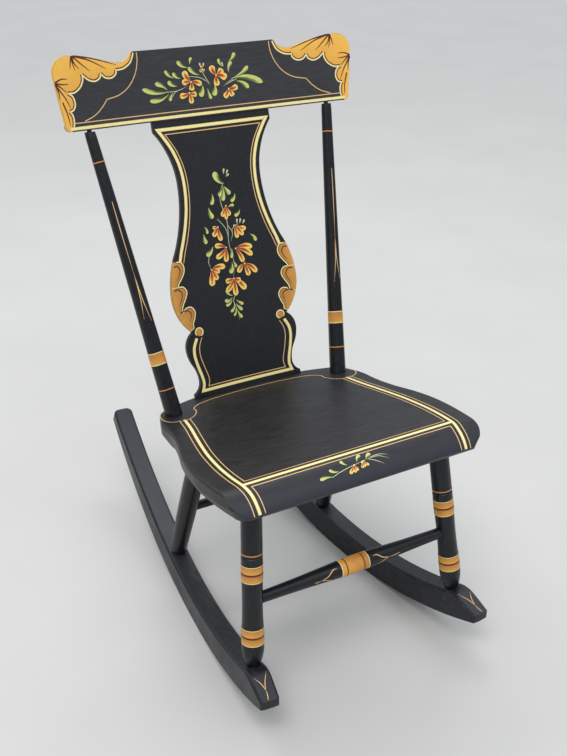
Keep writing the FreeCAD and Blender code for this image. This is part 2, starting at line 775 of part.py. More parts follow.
def splat_outline():
    """Half of the splat: a foot lip, a lobe, a notch, wide hips, a waist and a flared head."""
    up = (0, 0, 1)
    foot = (splat_foot_half_width, 0, 0)
    lip = (splat_foot_half_width, 0, splat_foot_lip_height)
    cove = (splat_cove_half_width, 0, splat_cove_height)
    lobe = (splat_lobe_half_width, 0, splat_lobe_height)
    lobe_low = ((cove[0] + lobe[0]) / 2, 0, (cove[2] + lobe[2]) / 2)
    notch = (splat_notch_half_width, 0, splat_notch_height)
    hip_low = (splat_hip_low_half_width, 0, splat_hip_low_height)
    hip = (splat_hip_half_width, 0, splat_hip_height)
    thigh = (splat_thigh_half_width, 0, splat_thigh_height)
    waist = (splat_waist_half_width, 0, splat_waist_height)
    head_low = (splat_head_half_width, 0, splat_length - splat_head_straight)
    head = (splat_head_half_width, 0, splat_length)
    return [
        line((0, 0, 0), foot),
        line(foot, lip),
        arc_into(lip, cove, up),
        arc_from(cove, up, lobe_low),
        arc_into(lobe_low, lobe, up),
        arc_from(lobe, up, notch),
        arc(notch, hip_low, hip),
        arc_from(hip, up, thigh),
        arc_into(thigh, waist, up),
        arc_from(waist, up, head_low),
        line(head_low, head),
        line(head, (0, 0, splat_length)),
    ]


def build_splat():
    board = bowed_board(splat_outline(), splat_thickness, -trim_margin, splat_length + trim_margin)
    splat = placed(board, splat_frame)
    seat_point = seat_frame.Base + seat_normal * shoulder_gap
    splat = splat.cut(half_space(seat_point, -seat_normal))
    splat = splat.cut(half_space(crest_frame.Base - crest_up * shoulder_gap, crest_up))
    for part in splat_tongues(0.0):
        splat = splat.fuse(part)
    return splat.removeSplitter()


def rocker_pegs():
    pegs = [
        rocker_peg(front_foot, front_top, 0.0),
        rocker_peg(rear_foot, rear_top, 0.0),
    ]
    return Part.makeCompound(pegs + [mirrored(peg) for peg in pegs])


def crest_pegs():
    peg = crest_peg(0.0)
    return Part.makeCompound([peg, mirrored(peg)])


def build():
    """Every sub-part by name."""
    parts = {
        "seat_plank": build_seat(),
        "crest_rail": build_crest(),
        "back_splat": build_splat(),
        "front_stretcher": build_stretcher(front_stretcher_end, front_leg_stations, front_foot, front_top,
                                           front_stretcher_end_diameter, front_stretcher_middle_diameter),
        "rear_stretcher": build_stretcher(rear_stretcher_end, rear_leg_stations, rear_foot, rear_top,
                                          rear_stretcher_end_diameter, rear_stretcher_middle_diameter),
        "rocker_pegs": rocker_pegs(),
        "crest_pegs": crest_pegs(),
    }
    pairs = {
        "stile": build_stile(),
        "front_leg": build_leg(front_leg_stations, front_foot, front_top, front_leg_foot_at,
                               front_stretcher_end),
        "rear_leg": build_leg(rear_leg_stations, rear_foot, rear_top, rear_leg_foot_at, rear_stretcher_end),
        "rocker": build_rocker(),
    }
    for name, shape in pairs.items():
        parts[name + "_right"] = shape
        parts[name + "_left"] = mirrored(shape)
    return parts


def balanced(parts):
    """The chair rolled on its rockers until its centre of mass is over the place it rests on."""
    solids = [solid for shape in parts.values() for solid in shape.Solids]
    volume = sum(solid.Volume for solid in solids)
    centre = V(0, 0, 0)
    for solid in solids:
        centre += solid.CenterOfMass * (solid.Volume / volume)
    pivot = V(0, along(rocker_arc_centre), rocker_arc_radius)
    roll = -math.degrees(math.atan2(centre.y - pivot.y, pivot.z - centre.z))
    for shape in parts.values():
        shape.rotate(pivot, V(1, 0, 0), roll)
    box = parts["rocker_right"].optimalBoundingBox()
    shift = V(0, -(box.YMin + box.YMax) / 2, -box.ZMin)
    for shape in parts.values():
        shape.translate(shift)
    print("rolled by", round(roll, 4), "degrees, moved by", round(shift.y, 3), round(shift.z, 3))
    return parts


os.makedirs("parts", exist_ok=True)
for name, shape in balanced(build()).items():
    shape.exportStep("parts/" + name + ".step")
    print(name, "solids", len(shape.Solids), "volume", round(shape.Volume), "valid", shape.isValid())
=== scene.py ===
"""Paint, gilding, flower sprays and studio for an armless fiddle back rocking chair.

The chair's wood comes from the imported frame. Every painted line, leaf and petal is a thin
skin laid over a face of the wood, worked out from the same sizes as the wood itself.
Lengths in this file are millimetres of the chair's drawing, until stand() turns them into
metres of the frame.
"""

import math

import bpy
import numpy as np
from mathutils import Matrix, Vector


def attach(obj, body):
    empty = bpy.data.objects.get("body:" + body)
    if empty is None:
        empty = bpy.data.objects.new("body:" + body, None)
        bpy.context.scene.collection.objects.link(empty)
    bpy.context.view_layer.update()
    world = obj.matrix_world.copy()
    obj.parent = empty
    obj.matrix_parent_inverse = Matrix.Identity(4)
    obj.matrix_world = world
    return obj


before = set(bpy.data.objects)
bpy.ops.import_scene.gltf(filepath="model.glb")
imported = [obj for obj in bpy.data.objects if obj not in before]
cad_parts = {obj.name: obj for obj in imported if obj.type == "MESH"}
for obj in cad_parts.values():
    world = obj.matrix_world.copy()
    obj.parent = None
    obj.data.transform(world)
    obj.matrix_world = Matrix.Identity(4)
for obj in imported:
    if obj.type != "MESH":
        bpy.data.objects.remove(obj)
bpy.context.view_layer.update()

bl_info = {
    "name": "Fiddle Back Rocking Chair",
    "version": (1, 0, 0),
    "blender": (4, 5, 0),
    "location": "3D View > Sidebar > Rocking Chair",
    "description": "Paints and decorates a plank seat rocking chair",
    "category": "Object",
}

MM = 0.001

# The chair as it is drawn, and the small turn and shift that stand it in its balanced pose
ROLL = -1.2357
ROLL_CENTRE = (0.0, -76.0, 730.0)
SHIFT = (0.0, 13.314, 0.035)
HALF_LENGTH = 365.0

# The bow of the crest rail and the splat, and where each board and the seat start and lean
BOW_RADIUS = 1220.0
CREST_BASE = (0.0, 151.5, 748.0)
CREST_LEAN = 12.0
SPLAT_BASE = (0.0, 41.3, 329.52)
SPLAT_LEAN = 15.0
SEAT_BASE = (0.0, -309.0, 368.5)
SEAT_TILT = 6.35
ROLL_RUN = 42.0
ROLL_RADIUS = 44.92

# Turnings: the two ends of each axis, and pairs of height along it and radius
FRONT_LEG_FOOT = (176.5, -299.2, 80.27)
FRONT_LEG_TOP = (156.2, -262.2, 329.08)
FRONT_LEG_RADII = ((0.0, 9.5), (12.6, 13.75), (36.0, 16.2), (50.0, 16.2), (98.0, 14.6), (146.0, 15.5),
                   (170.5, 15.1), (260.0, 14.75))
STILE_FOOT = (150.2, 5.0, 333.56)
STILE_HEAD = (201.0, 139.5, 748.0)
STILE_RADII = ((0.0, 13.5), (429.7, 8.25))
STILE_FLAT = 1.5
STRETCHER_LEFT = (-168.3, -284.2, 181.0)
STRETCHER_RIGHT = (168.3, -284.2, 181.0)
STRETCHER_RADII = ((0.0, 8.25), (77.8, 9.45), (141.3, 12.75), (168.3, 13.0), (195.3, 12.75),
                   (258.8, 9.45), (336.6, 8.25))

# The flat on a rocker's nose: half the gauge at its tip, its turn inward, and its slope
NOSE_GAUGE = 184.5
TOE_IN = 5.75
NOSE_TIP_HEIGHT = 71.3
NOSE_RUN = 38.0
NOSE_RISE = 12.7

# The crest rail's right end, and the splat's right hip: the points that their arcs run through
EAR_SHOULDER = (117.5, 103.0)
EAR_DIP = (139.5, 88.8)
EAR_SWEEP_END = (157.0, 91.2)
EAR_TOP = (220.0, 103.5)
EAR_TOP_BULGE = 1.8
EAR_CORNER = (238.5, 96.5)
EAR_SIDE = (245.5, 80.0)
EAR_SIDE_MIDDLE = (241.2, 40.0)
EAR_HEEL = (237.0, 7.0)
EAR_FOOT = (230.0, 0.0)
HIP_WAIST = (92.5, 235.0)
HIP_WIDEST = (111.0, 162.0)
HIP_UNDER = (101.0, 126.0)
HIP_NOTCH = (85.5, 106.0)


def srgb(text):
    """A hex colour as the linear numbers that shaders work in."""
    values = [int(text[i:i + 2], 16) / 255 for i in (0, 2, 4)]
    return tuple(v / 12.92 if v <= 0.04045 else ((v + 0.055) / 1.055) ** 2.4 for v in values)


def rgba(colour):
    """A colour with full opacity, as shader sockets take it."""
    return (*colour, 1.0)


def mixed(first, second, share):
    """The colour at a share of the way from one to the other."""
    return tuple(a * (1 - share) + b * share for a, b in zip(first, second))


def turn_about_x(points, degrees):
    """Points turned about the X axis: y and z mix by the cosine and sine of the angle."""
    c, s = math.cos(math.radians(degrees)), math.sin(math.radians(degrees))
    x, y, z = points[..., 0], points[..., 1], points[..., 2]
    return np.stack([x, y * c - z * s, y * s + z * c], axis=-1)


def stand(points):
    """Drawing points rolled about the rockers' centre, moved to the floor and scaled to metres."""
    centre = np.array(ROLL_CENTRE)
    return (turn_about_x(points - centre, ROLL) + centre + np.array(SHIFT)) * MM


# Faces of the wood. Each gives the points and outward normals at a pair of lengths along it.

def bowed_face(base, lean):
    """The hollow front of a board: a cylinder of the bow's radius about an upright axis, leaned back."""
    def face(x, z):
        depth = np.sqrt(BOW_RADIUS ** 2 - x ** 2)
        points = np.stack([x, depth - BOW_RADIUS, z], axis=-1)
        normals = np.stack([-x / BOW_RADIUS, -depth / BOW_RADIUS, np.zeros_like(x)], axis=-1)
        return turn_about_x(points, -lean) + np.array(base), turn_about_x(normals, -lean)
    return face


def seat_face(x, v):
    """The seat's top, and for places nearer than the roll's start an arc that falls over the front."""
    angle = np.clip((ROLL_RUN - v) / ROLL_RADIUS, 0, None)
    y = np.where(v < ROLL_RUN, ROLL_RUN - ROLL_RADIUS * np.sin(angle), v)
    z = -ROLL_RADIUS * (1 - np.cos(angle))
    points = np.stack([x, y, z], axis=-1)
    normals = np.stack([np.zeros_like(x), -np.sin(angle), np.cos(angle)], axis=-1)
    return turn_about_x(points, -SEAT_TILT) + np.array(SEAT_BASE), turn_about_x(normals, -SEAT_TILT)


def turning_axes(foot, top):
    """A turning's foot and axis, the chair's front made square to that axis, and the side across both."""
    foot, top = np.array(foot), np.array(top)
    axis = (top - foot) / np.linalg.norm(top - foot)
    front = np.array([0.0, -1.0, 0.0])
    front = front - axis * front.dot(axis)
    front /= np.linalg.norm(front)
    return foot, axis, front, np.cross(axis, front)


def turned_front(foot, top, radii, flat=0.0):
    """The front of a turning: s across it and t up its axis, on a circle cut by a flat in front."""
    foot, axis, front, side = turning_axes(foot, top)
    heights, sizes = np.array(radii).T

    def face(s, t):
        radius = np.interp(t, heights, sizes)
        depth = np.sqrt(np.clip(radius ** 2 - s ** 2, 0, None))
        on_flat = depth > radius - flat
        out = np.where(on_flat, radius - flat, depth)
        points = foot + axis * t[..., None] + side * s[..., None] + front * out[..., None]
        normals = np.where(on_flat[..., None], front,
                           (side * s[..., None] + front * depth[..., None]) / radius[..., None])
        return points, normals
    return face


def turned_round(foot, top, radii, flat=0.0):
    """The whole way round a turning: an angle from its front and t up its axis."""
    foot, axis, front, side = turning_axes(foot, top)
    heights, sizes = np.array(radii).T

    def face(angle, t):
        radius = np.interp(t, heights, sizes)
        toward = np.clip(np.cos(angle), 0.05, None)
        reach = np.where(np.cos(angle) > 0.05, np.minimum(radius, (radius - flat) / toward), radius)
        out = side * np.sin(angle)[..., None] + front * np.cos(angle)[..., None]
        return foot + axis * t[..., None] + out * reach[..., None], out
    return face


def nose_face(x, y):
    """The flat top of a rocker's nose: x across it and y back from its tip, rising at a steady slope."""
    c, s = math.cos(math.radians(TOE_IN)), math.sin(math.radians(TOE_IN))
    slope = NOSE_RISE / NOSE_RUN
    gauge = NOSE_GAUGE + x * c - y * s
    points = np.stack([gauge, -HALF_LENGTH + y * c + x * s, NOSE_TIP_HEIGHT + y * slope], axis=-1)
    normal = np.array([0.0, -slope, 1.0]) / math.hypot(1.0, slope)
    return points, np.broadcast_to(normal, points.shape)


def mirrored(face):
    """The same face on the other side of the chair."""
    def other(a, b):
        points, normals = face(a, b)
        flip = np.array([-1.0, 1.0, 1.0])
        return points * flip, normals * flip
    return other


crest_face = bowed_face(CREST_BASE, CREST_LEAN)
splat_face = bowed_face(SPLAT_BASE, SPLAT_LEAN)


# Outlines of the boards, made of the same arcs as the wood

def arc_through(start, middle, end, count=24):
    """The circle through three points, from the first to the last: equal steps of its angle."""
    points = np.array([start, middle, end], float)
    runs = 2 * (points[1:] - points[0])
    centre = np.linalg.solve(runs, (points[1:] ** 2).sum(axis=1) - (points[0] ** 2).sum())
    first, half, last = np.arctan2(*(points - centre).T[::-1])
    half, last = (half - first) % (2 * np.pi), (last - first) % (2 * np.pi)
    sweep = last if half < last else last - 2 * np.pi
    angle = first + np.linspace(0, sweep, count)
    return centre + np.linalg.norm(points[0] - centre) * np.stack([np.cos(angle), np.sin(angle)], axis=1)


def arc_leaving(start, heading, end, count=16):
    """The arc that leaves a point along a heading and ends at another point.

    Its middle lies on the chord's bisector, off the chord by half its length times the tangent of
    half the angle between heading and chord.
    """
    start, end, heading = (np.array(v, float) for v in (start, end, heading))
    chord = end - start
    aside = np.array([-chord[1], chord[0]])
    angle = math.atan2(heading.dot(aside), heading.dot(chord))
    return arc_through(start, (start + end) / 2 + aside * 0.5 * math.tan(angle / 2), end, count)


def ear_outline():
    """The crest rail's right end, from the raised middle's shoulder down to its foot."""
    bulge = ((EAR_TOP[0] + EAR_SWEEP_END[0]) / 2, (EAR_TOP[1] + EAR_SWEEP_END[1]) / 2 + EAR_TOP_BULGE)
    return np.vstack([
        arc_leaving(EAR_DIP, (-1, 0), EAR_SHOULDER)[::-1],
        arc_leaving(EAR_DIP, (1, 0), EAR_SWEEP_END)[1:],
        arc_through(EAR_SWEEP_END, bulge, EAR_TOP)[1:],
        arc_through(EAR_TOP, EAR_CORNER, EAR_SIDE)[1:],
        arc_through(EAR_SIDE, EAR_SIDE_MIDDLE, EAR_HEEL)[1:],
        arc_leaving(EAR_FOOT, (1, 0), EAR_HEEL)[::-1][1:],
    ])


def hip_outline():
    """The splat's right hip, from the thigh down to the notch under it."""
    return np.vstack([
        arc_leaving(HIP_WIDEST, (0, 1), HIP_WAIST)[::-1],
        arc_through(HIP_WIDEST, HIP_UNDER, HIP_NOTCH)[1:],
    ])


def outline_span(outline, first, last, count):
    """The part of an outline between the places nearest to two points, in equal steps of its length."""
    run = np.concatenate([[0], np.cumsum(np.linalg.norm(np.diff(outline, axis=0), axis=1))])
    fine = np.linspace(0, run[-1], 4000)
    dense = np.stack([np.interp(fine, run, outline[:, i]) for i in (0, 1)], axis=1)
    start, end = (fine[np.linalg.norm(dense - np.array(p), axis=1).argmin()] for p in (first, last))
    places = np.linspace(start, end, count)
    return np.stack([np.interp(places, run, outline[:, i]) for i in (0, 1)], axis=1)


def board_edge(painting, outline, base, lean, depth):
    """Carries the paint round a board's edge: the outline swept straight back, off the wood by the lift."""
    outward = sideways(outline)
    if outward[:, 0].sum() < 0:
        outward = -outward
    back = np.linspace(0, depth, 4)
    x, z = outline.T
    bow = np.sqrt(BOW_RADIUS ** 2 - x ** 2) - BOW_RADIUS
    rim = np.stack(np.broadcast_arrays(x[:, None], bow[:, None] + back, z[:, None]), axis=-1)
    out = np.stack([outward[:, 0], np.zeros(len(x)), outward[:, 1]], axis=-1)[:, None]
    out = np.broadcast_to(out / np.linalg.norm(out, axis=-1, keepdims=True), rim.shape)
    uv = np.stack(np.broadcast_arrays(np.linspace(0, 1, len(x))[:, None], 0.3 * back / depth), axis=-1)
    points = turn_about_x(rim + out * painting.lift, -lean) + np.array(base)
    normals = turn_about_x(out, -lean)
    for side in (1, -1):
        flip = np.array([side, 1.0, 1.0])
        painting.lay(points * flip, normals * flip, uv)


# Plans: shapes drawn flat, as grids of points in the two lengths of a face

def curve_through(points, per_span=8):
    """A smooth line through points: on each span the cubic whose slope at a point joins its neighbours."""
    p = np.array(points, float)
    if len(p) == 2:
        t = np.linspace(0, 1, per_span + 1)[:, None]
        return p[0] * (1 - t) + p[1] * t
    ends = np.vstack([2 * p[0] - p[1], p, 2 * p[-1] - p[-2]])
    before, first, last, after = ends[:-3], ends[1:-2], ends[2:-1], ends[3:]
    t = np.linspace(0, 1, per_span, endpoint=False)[None, :, None]
    a, b, c, d = before[:, None], first[:, None], last[:, None], after[:, None]
    bend = (2 * a - 5 * b + 4 * c - d) * t ** 2
    spans = 0.5 * (2 * b + (c - a) * t + bend + (3 * b - a - 3 * c + d) * t ** 3)
    return np.vstack([spans.reshape(-1, 2), p[-1:]])


def sideways(path):
    """The unit normal at each point of a path, lengthened at a corner so that an offset keeps its width."""
    runs = np.diff(path, axis=0)
    runs /= np.maximum(np.linalg.norm(runs, axis=1, keepdims=True), 1e-9)
    before = np.vstack([runs[:1], runs])
    after = np.vstack([runs, runs[-1:]])
    middle = before + after
    middle /= np.maximum(np.linalg.norm(middle, axis=1, keepdims=True), 1e-9)
    stretch = 1 / np.clip((middle * after).sum(axis=1, keepdims=True), 0.35, 1)
    return np.stack([-middle[:, 1], middle[:, 0]], axis=1) * stretch


def ribbon(path, width, across=3):
    """A grid over a path: each row is the path's point moved across it by shares of the width there."""
    path = np.array(path, float)
    shares = np.linspace(-1, 1, across)
    half = np.broadcast_to(np.asarray(width, float) / 2, (len(path),))
    plan = path[:, None] + sideways(path)[:, None] * (half[:, None] * shares)[..., None]
    steps = np.linalg.norm(np.diff(path, axis=0), axis=1)
    run = np.concatenate([[0], np.cumsum(steps)])
    uv = np.stack(np.broadcast_arrays((run / run[-1])[:, None], (shares * 0.5 + 0.5)[None, :]), axis=-1)
    return plan, uv


def brush_stroke(points, width, per_span=8):
    """A line that swells from a fine start and thins to its end, by a power of the sine along it."""
    path = curve_through(points, per_span)
    t = np.linspace(0, 1, len(path))
    return ribbon(path, width * (0.25 + 0.75 * np.sin(np.pi * np.clip(t + 0.12, 0, 1)) ** 0.7))


def taper_stroke(points, width, per_span=8):
    """A stroke that starts broad and thins to a hair, by a falling root of the share along it."""
    path = curve_through(points, per_span)
    t = np.linspace(0, 1, len(path))
    return ribbon(path, width * (0.12 + 0.88 * np.sqrt(1 - t)) * np.clip(t * 12 + 0.35, 0, 1))


def drop_stroke(base, tip, width, bend=0.0, rows=14, across=7):
    """A petal or leaf laid down in one stroke, from a fine base to a round tip.

    Its half width is the share along it to the power 0.8 times the root of one less the fifth power.
    Its middle line bows sideways by a sine.
    """
    base, tip = np.array(base, float), np.array(tip, float)
    t = np.linspace(0.02, 0.995, rows)
    run = tip - base
    aside = np.array([-run[1], run[0]]) * bend
    path = base + run * t[:, None] + aside * np.sin(np.pi * t)[:, None]
    return ribbon(path, width * 1.12 * t ** 0.8 * np.sqrt(1 - t ** 5), across)


def between(first, second, rows=5):
    """The grid between two paths of equal count, by straight shares from one to the other."""
    share = np.linspace(0, 1, rows)[None, :, None]
    plan = first[:, None] * (1 - share) + second[:, None] * share
    along = np.linspace(0, 1, len(first))
    uv = np.stack(np.broadcast_arrays(along[:, None], share[..., 0]), axis=-1)
    return plan, uv


def disc(centre, radius, spokes=28, rings=4):
    """A round spot: rings of points at rising shares of the radius."""
    angle = np.linspace(0, 2 * np.pi, spokes + 1)
    share = np.linspace(0.03, 1, rings)
    reach = radius * share[None, :]
    plan = np.stack([centre[0] + reach * np.cos(angle)[:, None], centre[1] + reach * np.sin(angle)[:, None]],
                    axis=-1)
    uv = np.stack(np.broadcast_arrays(angle[:, None] / (2 * np.pi), share[None, :]), axis=-1)
    return plan, uv


def ring_plan(height, width, turns=64):
    """A band round a turning: the full angle by three heights across its width."""
    angle = np.linspace(-np.pi, np.pi, turns + 1)
    rows = height + np.linspace(-0.5, 0.5, 3) * width
    plan = np.stack(np.broadcast_arrays(angle[:, None], rows[None, :]), axis=-1)
    uv = np.stack(np.broadcast_arrays(angle[:, None] / (2 * np.pi) + 0.5, np.linspace(0, 1, 3)[None, :]),
                  axis=-1)
    return plan, uv


class Painting:
    """Painted shapes of one finish, gathered into one mesh that lies just off the wood."""

    def __init__(self, name, material, slot, lift):
        self.name = name
        self.material = bpy.data.materials[material]
        self.slot = slot
        self.lift = lift
        self.points = []
        self.faces = []
        self.places = []
        self.count = 0

    def add(self, faces_of_wood, shape, extra=0.0):
        """Lays one plan on each of the given faces of wood."""
        plan, uv = shape
        for wood in faces_of_wood:
            points, normals = wood(plan[..., 0], plan[..., 1])
            self.lay(points + normals * (self.lift + extra), normals, uv)

    def lay(self, points, normals, uv):
        """Adds a grid of points as quads that face the way its normals point."""
        rows, columns = points.shape[:2]
        number = np.arange(rows * columns).reshape(rows, columns) + self.count
        quads = np.stack([number[:-1, :-1], number[1:, :-1], number[1:, 1:], number[:-1, 1:]], axis=-1)
        rise = np.cross(points[1:, :-1] - points[:-1, :-1], points[:-1, 1:] - points[:-1, :-1])
        if (rise * normals[:-1, :-1]).sum() < 0:
            quads = quads[..., ::-1]
        self.points.append(stand(points).reshape(-1, 3))
        self.faces.append(quads.reshape(-1, 4))
        self.places.append(np.asarray(uv, float).reshape(-1, 2))
        self.count += rows * columns

    def finish(self):
        """Makes the mesh, smooth and with its UV map, and seats it on the chair."""
        mesh = bpy.data.meshes.new(self.name)
        faces = np.concatenate(self.faces)
        mesh.from_pydata(np.concatenate(self.points).tolist(), [], faces.tolist())
        mesh.polygons.foreach_set("use_smooth", np.ones(len(faces), bool))
        layer = mesh.uv_layers.new(name="stroke")
        layer.data.foreach_set("uv", np.concatenate(self.places)[faces.ravel()].ravel())
        mesh.materials.append(self.material)
        mesh.update()
        piece = bpy.data.objects.new(self.name, mesh)
        bpy.context.scene.collection.objects.link(piece)
        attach(piece, "root")
        return piece


# Materials

def add_node(tree, kind, inputs=None, **settings):
    """Adds a node, sets its fields, and fills its inputs with values or other nodes' outputs."""
    made = tree.nodes.new(kind)
    for field, value in settings.items():
        setattr(made, field, value)
    for socket, value in (inputs or {}).items():
        if isinstance(value, bpy.types.NodeSocket):
            tree.links.new(value, made.inputs[socket])
        else:
            made.inputs[socket].default_value = value
    return made


def blank_material(name):
    """A new material with an empty tree."""
    material = bpy.data.materials.new(name)
    material.use_nodes = True
    material.node_tree.nodes.clear()
    return material, material.node_tree


def close_material(tree, shader):
    """Joins the finished shader to the material's output."""
    add_node(tree, "ShaderNodeOutputMaterial", {"Surface": shader.outputs["BSDF"]})


def black_paint(name, colour, worn, gloss, grain, wear, painted_sheen=None):
    """Satin black enamel, brushed over wood and rubbed by use.

    The brush and the grain under it leave fine ridges along the piece, each about 1 to 2 mm apart.
    Handling leaves dull and bright clouds some 60 mm wide, and lighter rubbed edges. A painted sheen is a
    direction, a span of its cosine and a colour: faces turned that way are painted lighter, as light falls on
    them.
    """
    material, tree = blank_material(name)
    place = add_node(tree, "ShaderNodeTexCoord").outputs["Object"]
    stretched = add_node(tree, "ShaderNodeMapping", {"Vector": place, "Scale": grain}).outputs["Vector"]
    ridges = add_node(tree, "ShaderNodeTexNoise", {"Vector": stretched, "Scale": 600.0, "Detail": 3.0,
                                                    "Roughness": 0.55})
    clouds = add_node(tree, "ShaderNodeTexNoise", {"Vector": place, "Scale": 17.0, "Detail": 4.0,
                                                    "Roughness": 0.6})
    specks = add_node(tree, "ShaderNodeTexNoise", {"Vector": place, "Scale": 260.0, "Detail": 2.0})
    eased = add_node(tree, "ShaderNodeBevel", {"Radius": 1.6 * MM}, samples=6).outputs["Normal"]
    flat = add_node(tree, "ShaderNodeNewGeometry").outputs["Normal"]
    turn = add_node(tree, "ShaderNodeVectorMath", {0: eased, 1: flat},
                    operation="DOT_PRODUCT").outputs["Value"]
    edge = add_node(tree, "ShaderNodeMapRange", {"Value": turn, "From Min": 0.985, "From Max": 0.80,
                                                 "To Min": 0.0, "To Max": 1.0}).outputs["Result"]
    patchy = add_node(tree, "ShaderNodeMapRange", {"Value": clouds.outputs["Fac"], "From Min": 0.42,
                                                   "From Max": 0.66, "To Min": 0.0,
                                                   "To Max": wear}).outputs["Result"]
    rubbed = add_node(tree, "ShaderNodeMath", {0: edge, 1: patchy}, operation="MULTIPLY").outputs["Value"]
    streak = add_node(tree, "ShaderNodeMapRange", {"Value": ridges.outputs["Fac"], "From Min": 0.35,
                                                   "From Max": 0.75, "To Min": 0.0,
                                                   "To Max": 0.30}).outputs["Result"]
    brushed = add_node(tree, "ShaderNodeMix", {0: streak, 6: rgba(colour), 7: rgba(worn)}, data_type="RGBA")
    aged = add_node(tree, "ShaderNodeMix", {0: rubbed, 6: brushed.outputs[2], 7: rgba(worn)},
                    data_type="RGBA")
    speckled = add_node(tree, "ShaderNodeMapRange", {"Value": specks.outputs["Fac"], "From Min": 0.70,
                                                     "From Max": 0.78, "To Min": 0.0,
                                                     "To Max": 0.35}).outputs["Result"]
    dust_and_sheen = add_node(tree, "ShaderNodeMix", {0: speckled, 6: aged.outputs[2], 7: rgba(worn)},
                      data_type="RGBA")
    # Painted sheen: where the face points along the given direction, the colour turns lighter, standing in
    # for light falling on it
    if painted_sheen:
        direction, (start, end), tone = painted_sheen
        facing = add_node(tree, "ShaderNodeVectorMath", {0: flat, 1: direction},
                          operation="DOT_PRODUCT").outputs["Value"]
        share = add_node(tree, "ShaderNodeMapRange", {"Value": facing, "From Min": start,
                                                      "From Max": end}).outputs["Result"]
        dust_and_sheen = add_node(tree, "ShaderNodeMix", {0: share, 6: dust_and_sheen.outputs[2], 7: rgba(tone)},
                          data_type="RGBA")
    rough = add_node(tree, "ShaderNodeMapRange", {"Value": clouds.outputs["Fac"], "From Min": 0.3,
                                                  "From Max": 0.7, "To Min": gloss - 0.06,
                                                  "To Max": gloss + 0.08}).outputs["Result"]
    bump = add_node(tree, "ShaderNodeBump", {"Strength": 0.25, "Distance": 0.25 * MM,
                                             "Height": ridges.outputs["Fac"], "Normal": eased})
    shader = add_node(tree, "ShaderNodeBsdfPrincipled", {
        "Base Color": dust_and_sheen.outputs[2], "Roughness": rough, "IOR": 1.45, "Specular IOR Level": 0.42,
        "Normal": bump.outputs["Normal"]})
    close_material(tree, shader)
    return material


def line_paint(name, colour, edge_colour, gloss):
    """Striping enamel drawn with a long brush: paler in the middle, thinner and darker at its edges."""
    material, tree = blank_material(name)
    place = add_node(tree, "ShaderNodeTexCoord")
    stroke = add_node(tree, "ShaderNodeSeparateXYZ", {"Vector": place.outputs["UV"]}).outputs["Y"]
    centred = add_node(tree, "ShaderNodeMath", {0: stroke, 1: 0.5}, operation="SUBTRACT").outputs["Value"]
    off = add_node(tree, "ShaderNodeMath", {0: centred}, operation="ABSOLUTE").outputs["Value"]
    wander = add_node(tree, "ShaderNodeTexNoise", {"Vector": place.outputs["Object"], "Scale": 220.0,
                                                    "Detail": 3.0}).outputs["Fac"]
    shifted = add_node(tree, "ShaderNodeMath", {0: wander, 1: 0.22, 2: off}, operation="MULTIPLY_ADD")
    thin = add_node(tree, "ShaderNodeMapRange", {"Value": shifted.outputs["Value"], "From Min": 0.42,
                                                 "From Max": 0.62, "To Min": 0.0,
                                                 "To Max": 0.85}).outputs["Result"]
    tint = add_node(tree, "ShaderNodeMix", {0: thin, 6: rgba(colour), 7: rgba(edge_colour)},
                    data_type="RGBA")
    shader = add_node(tree, "ShaderNodeBsdfPrincipled", {
        "Base Color": tint.outputs[2], "Roughness": gloss, "IOR": 1.5})
    close_material(tree, shader)
    return material


def gold_leaf(name, colour, deep):
    """Amber gold enamel, laid in soft brush marks that follow the form and deepen towards its rim."""
    material, tree = blank_material(name)
    place = add_node(tree, "ShaderNodeTexCoord")
    stroke = add_node(tree, "ShaderNodeSeparateXYZ", {"Vector": place.outputs["UV"]}).outputs["Y"]
    clouds = add_node(tree, "ShaderNodeTexNoise", {"Vector": place.outputs["Object"], "Scale": 70.0,
                                                    "Detail": 3.0}).outputs["Fac"]
    brush = add_node(tree, "ShaderNodeTexNoise", {"Vector": place.outputs["Object"], "Scale": 420.0,
                                                   "Detail": 2.0}).outputs["Fac"]
    soft = add_node(tree, "ShaderNodeMath", {0: clouds, 1: 0.9, 2: stroke}, operation="MULTIPLY_ADD")
    depth = add_node(tree, "ShaderNodeMapRange", {"Value": soft.outputs["Value"], "From Min": 0.35,
                                                  "From Max": 1.5, "To Min": 0.0,
                                                  "To Max": 0.75}).outputs["Result"]
    tint = add_node(tree, "ShaderNodeMix", {0: depth, 6: rgba(colour), 7: rgba(deep)}, data_type="RGBA")
    bump = add_node(tree, "ShaderNodeBump", {"Strength": 0.2, "Distance": 0.1 * MM, "Height": brush})
    shader = add_node(tree, "ShaderNodeBsdfPrincipled", {
        "Base Color": tint.outputs[2], "Roughness": 0.42, "IOR": 1.5, "Normal": bump.outputs["Normal"]})
    close_material(tree, shader)
    return material


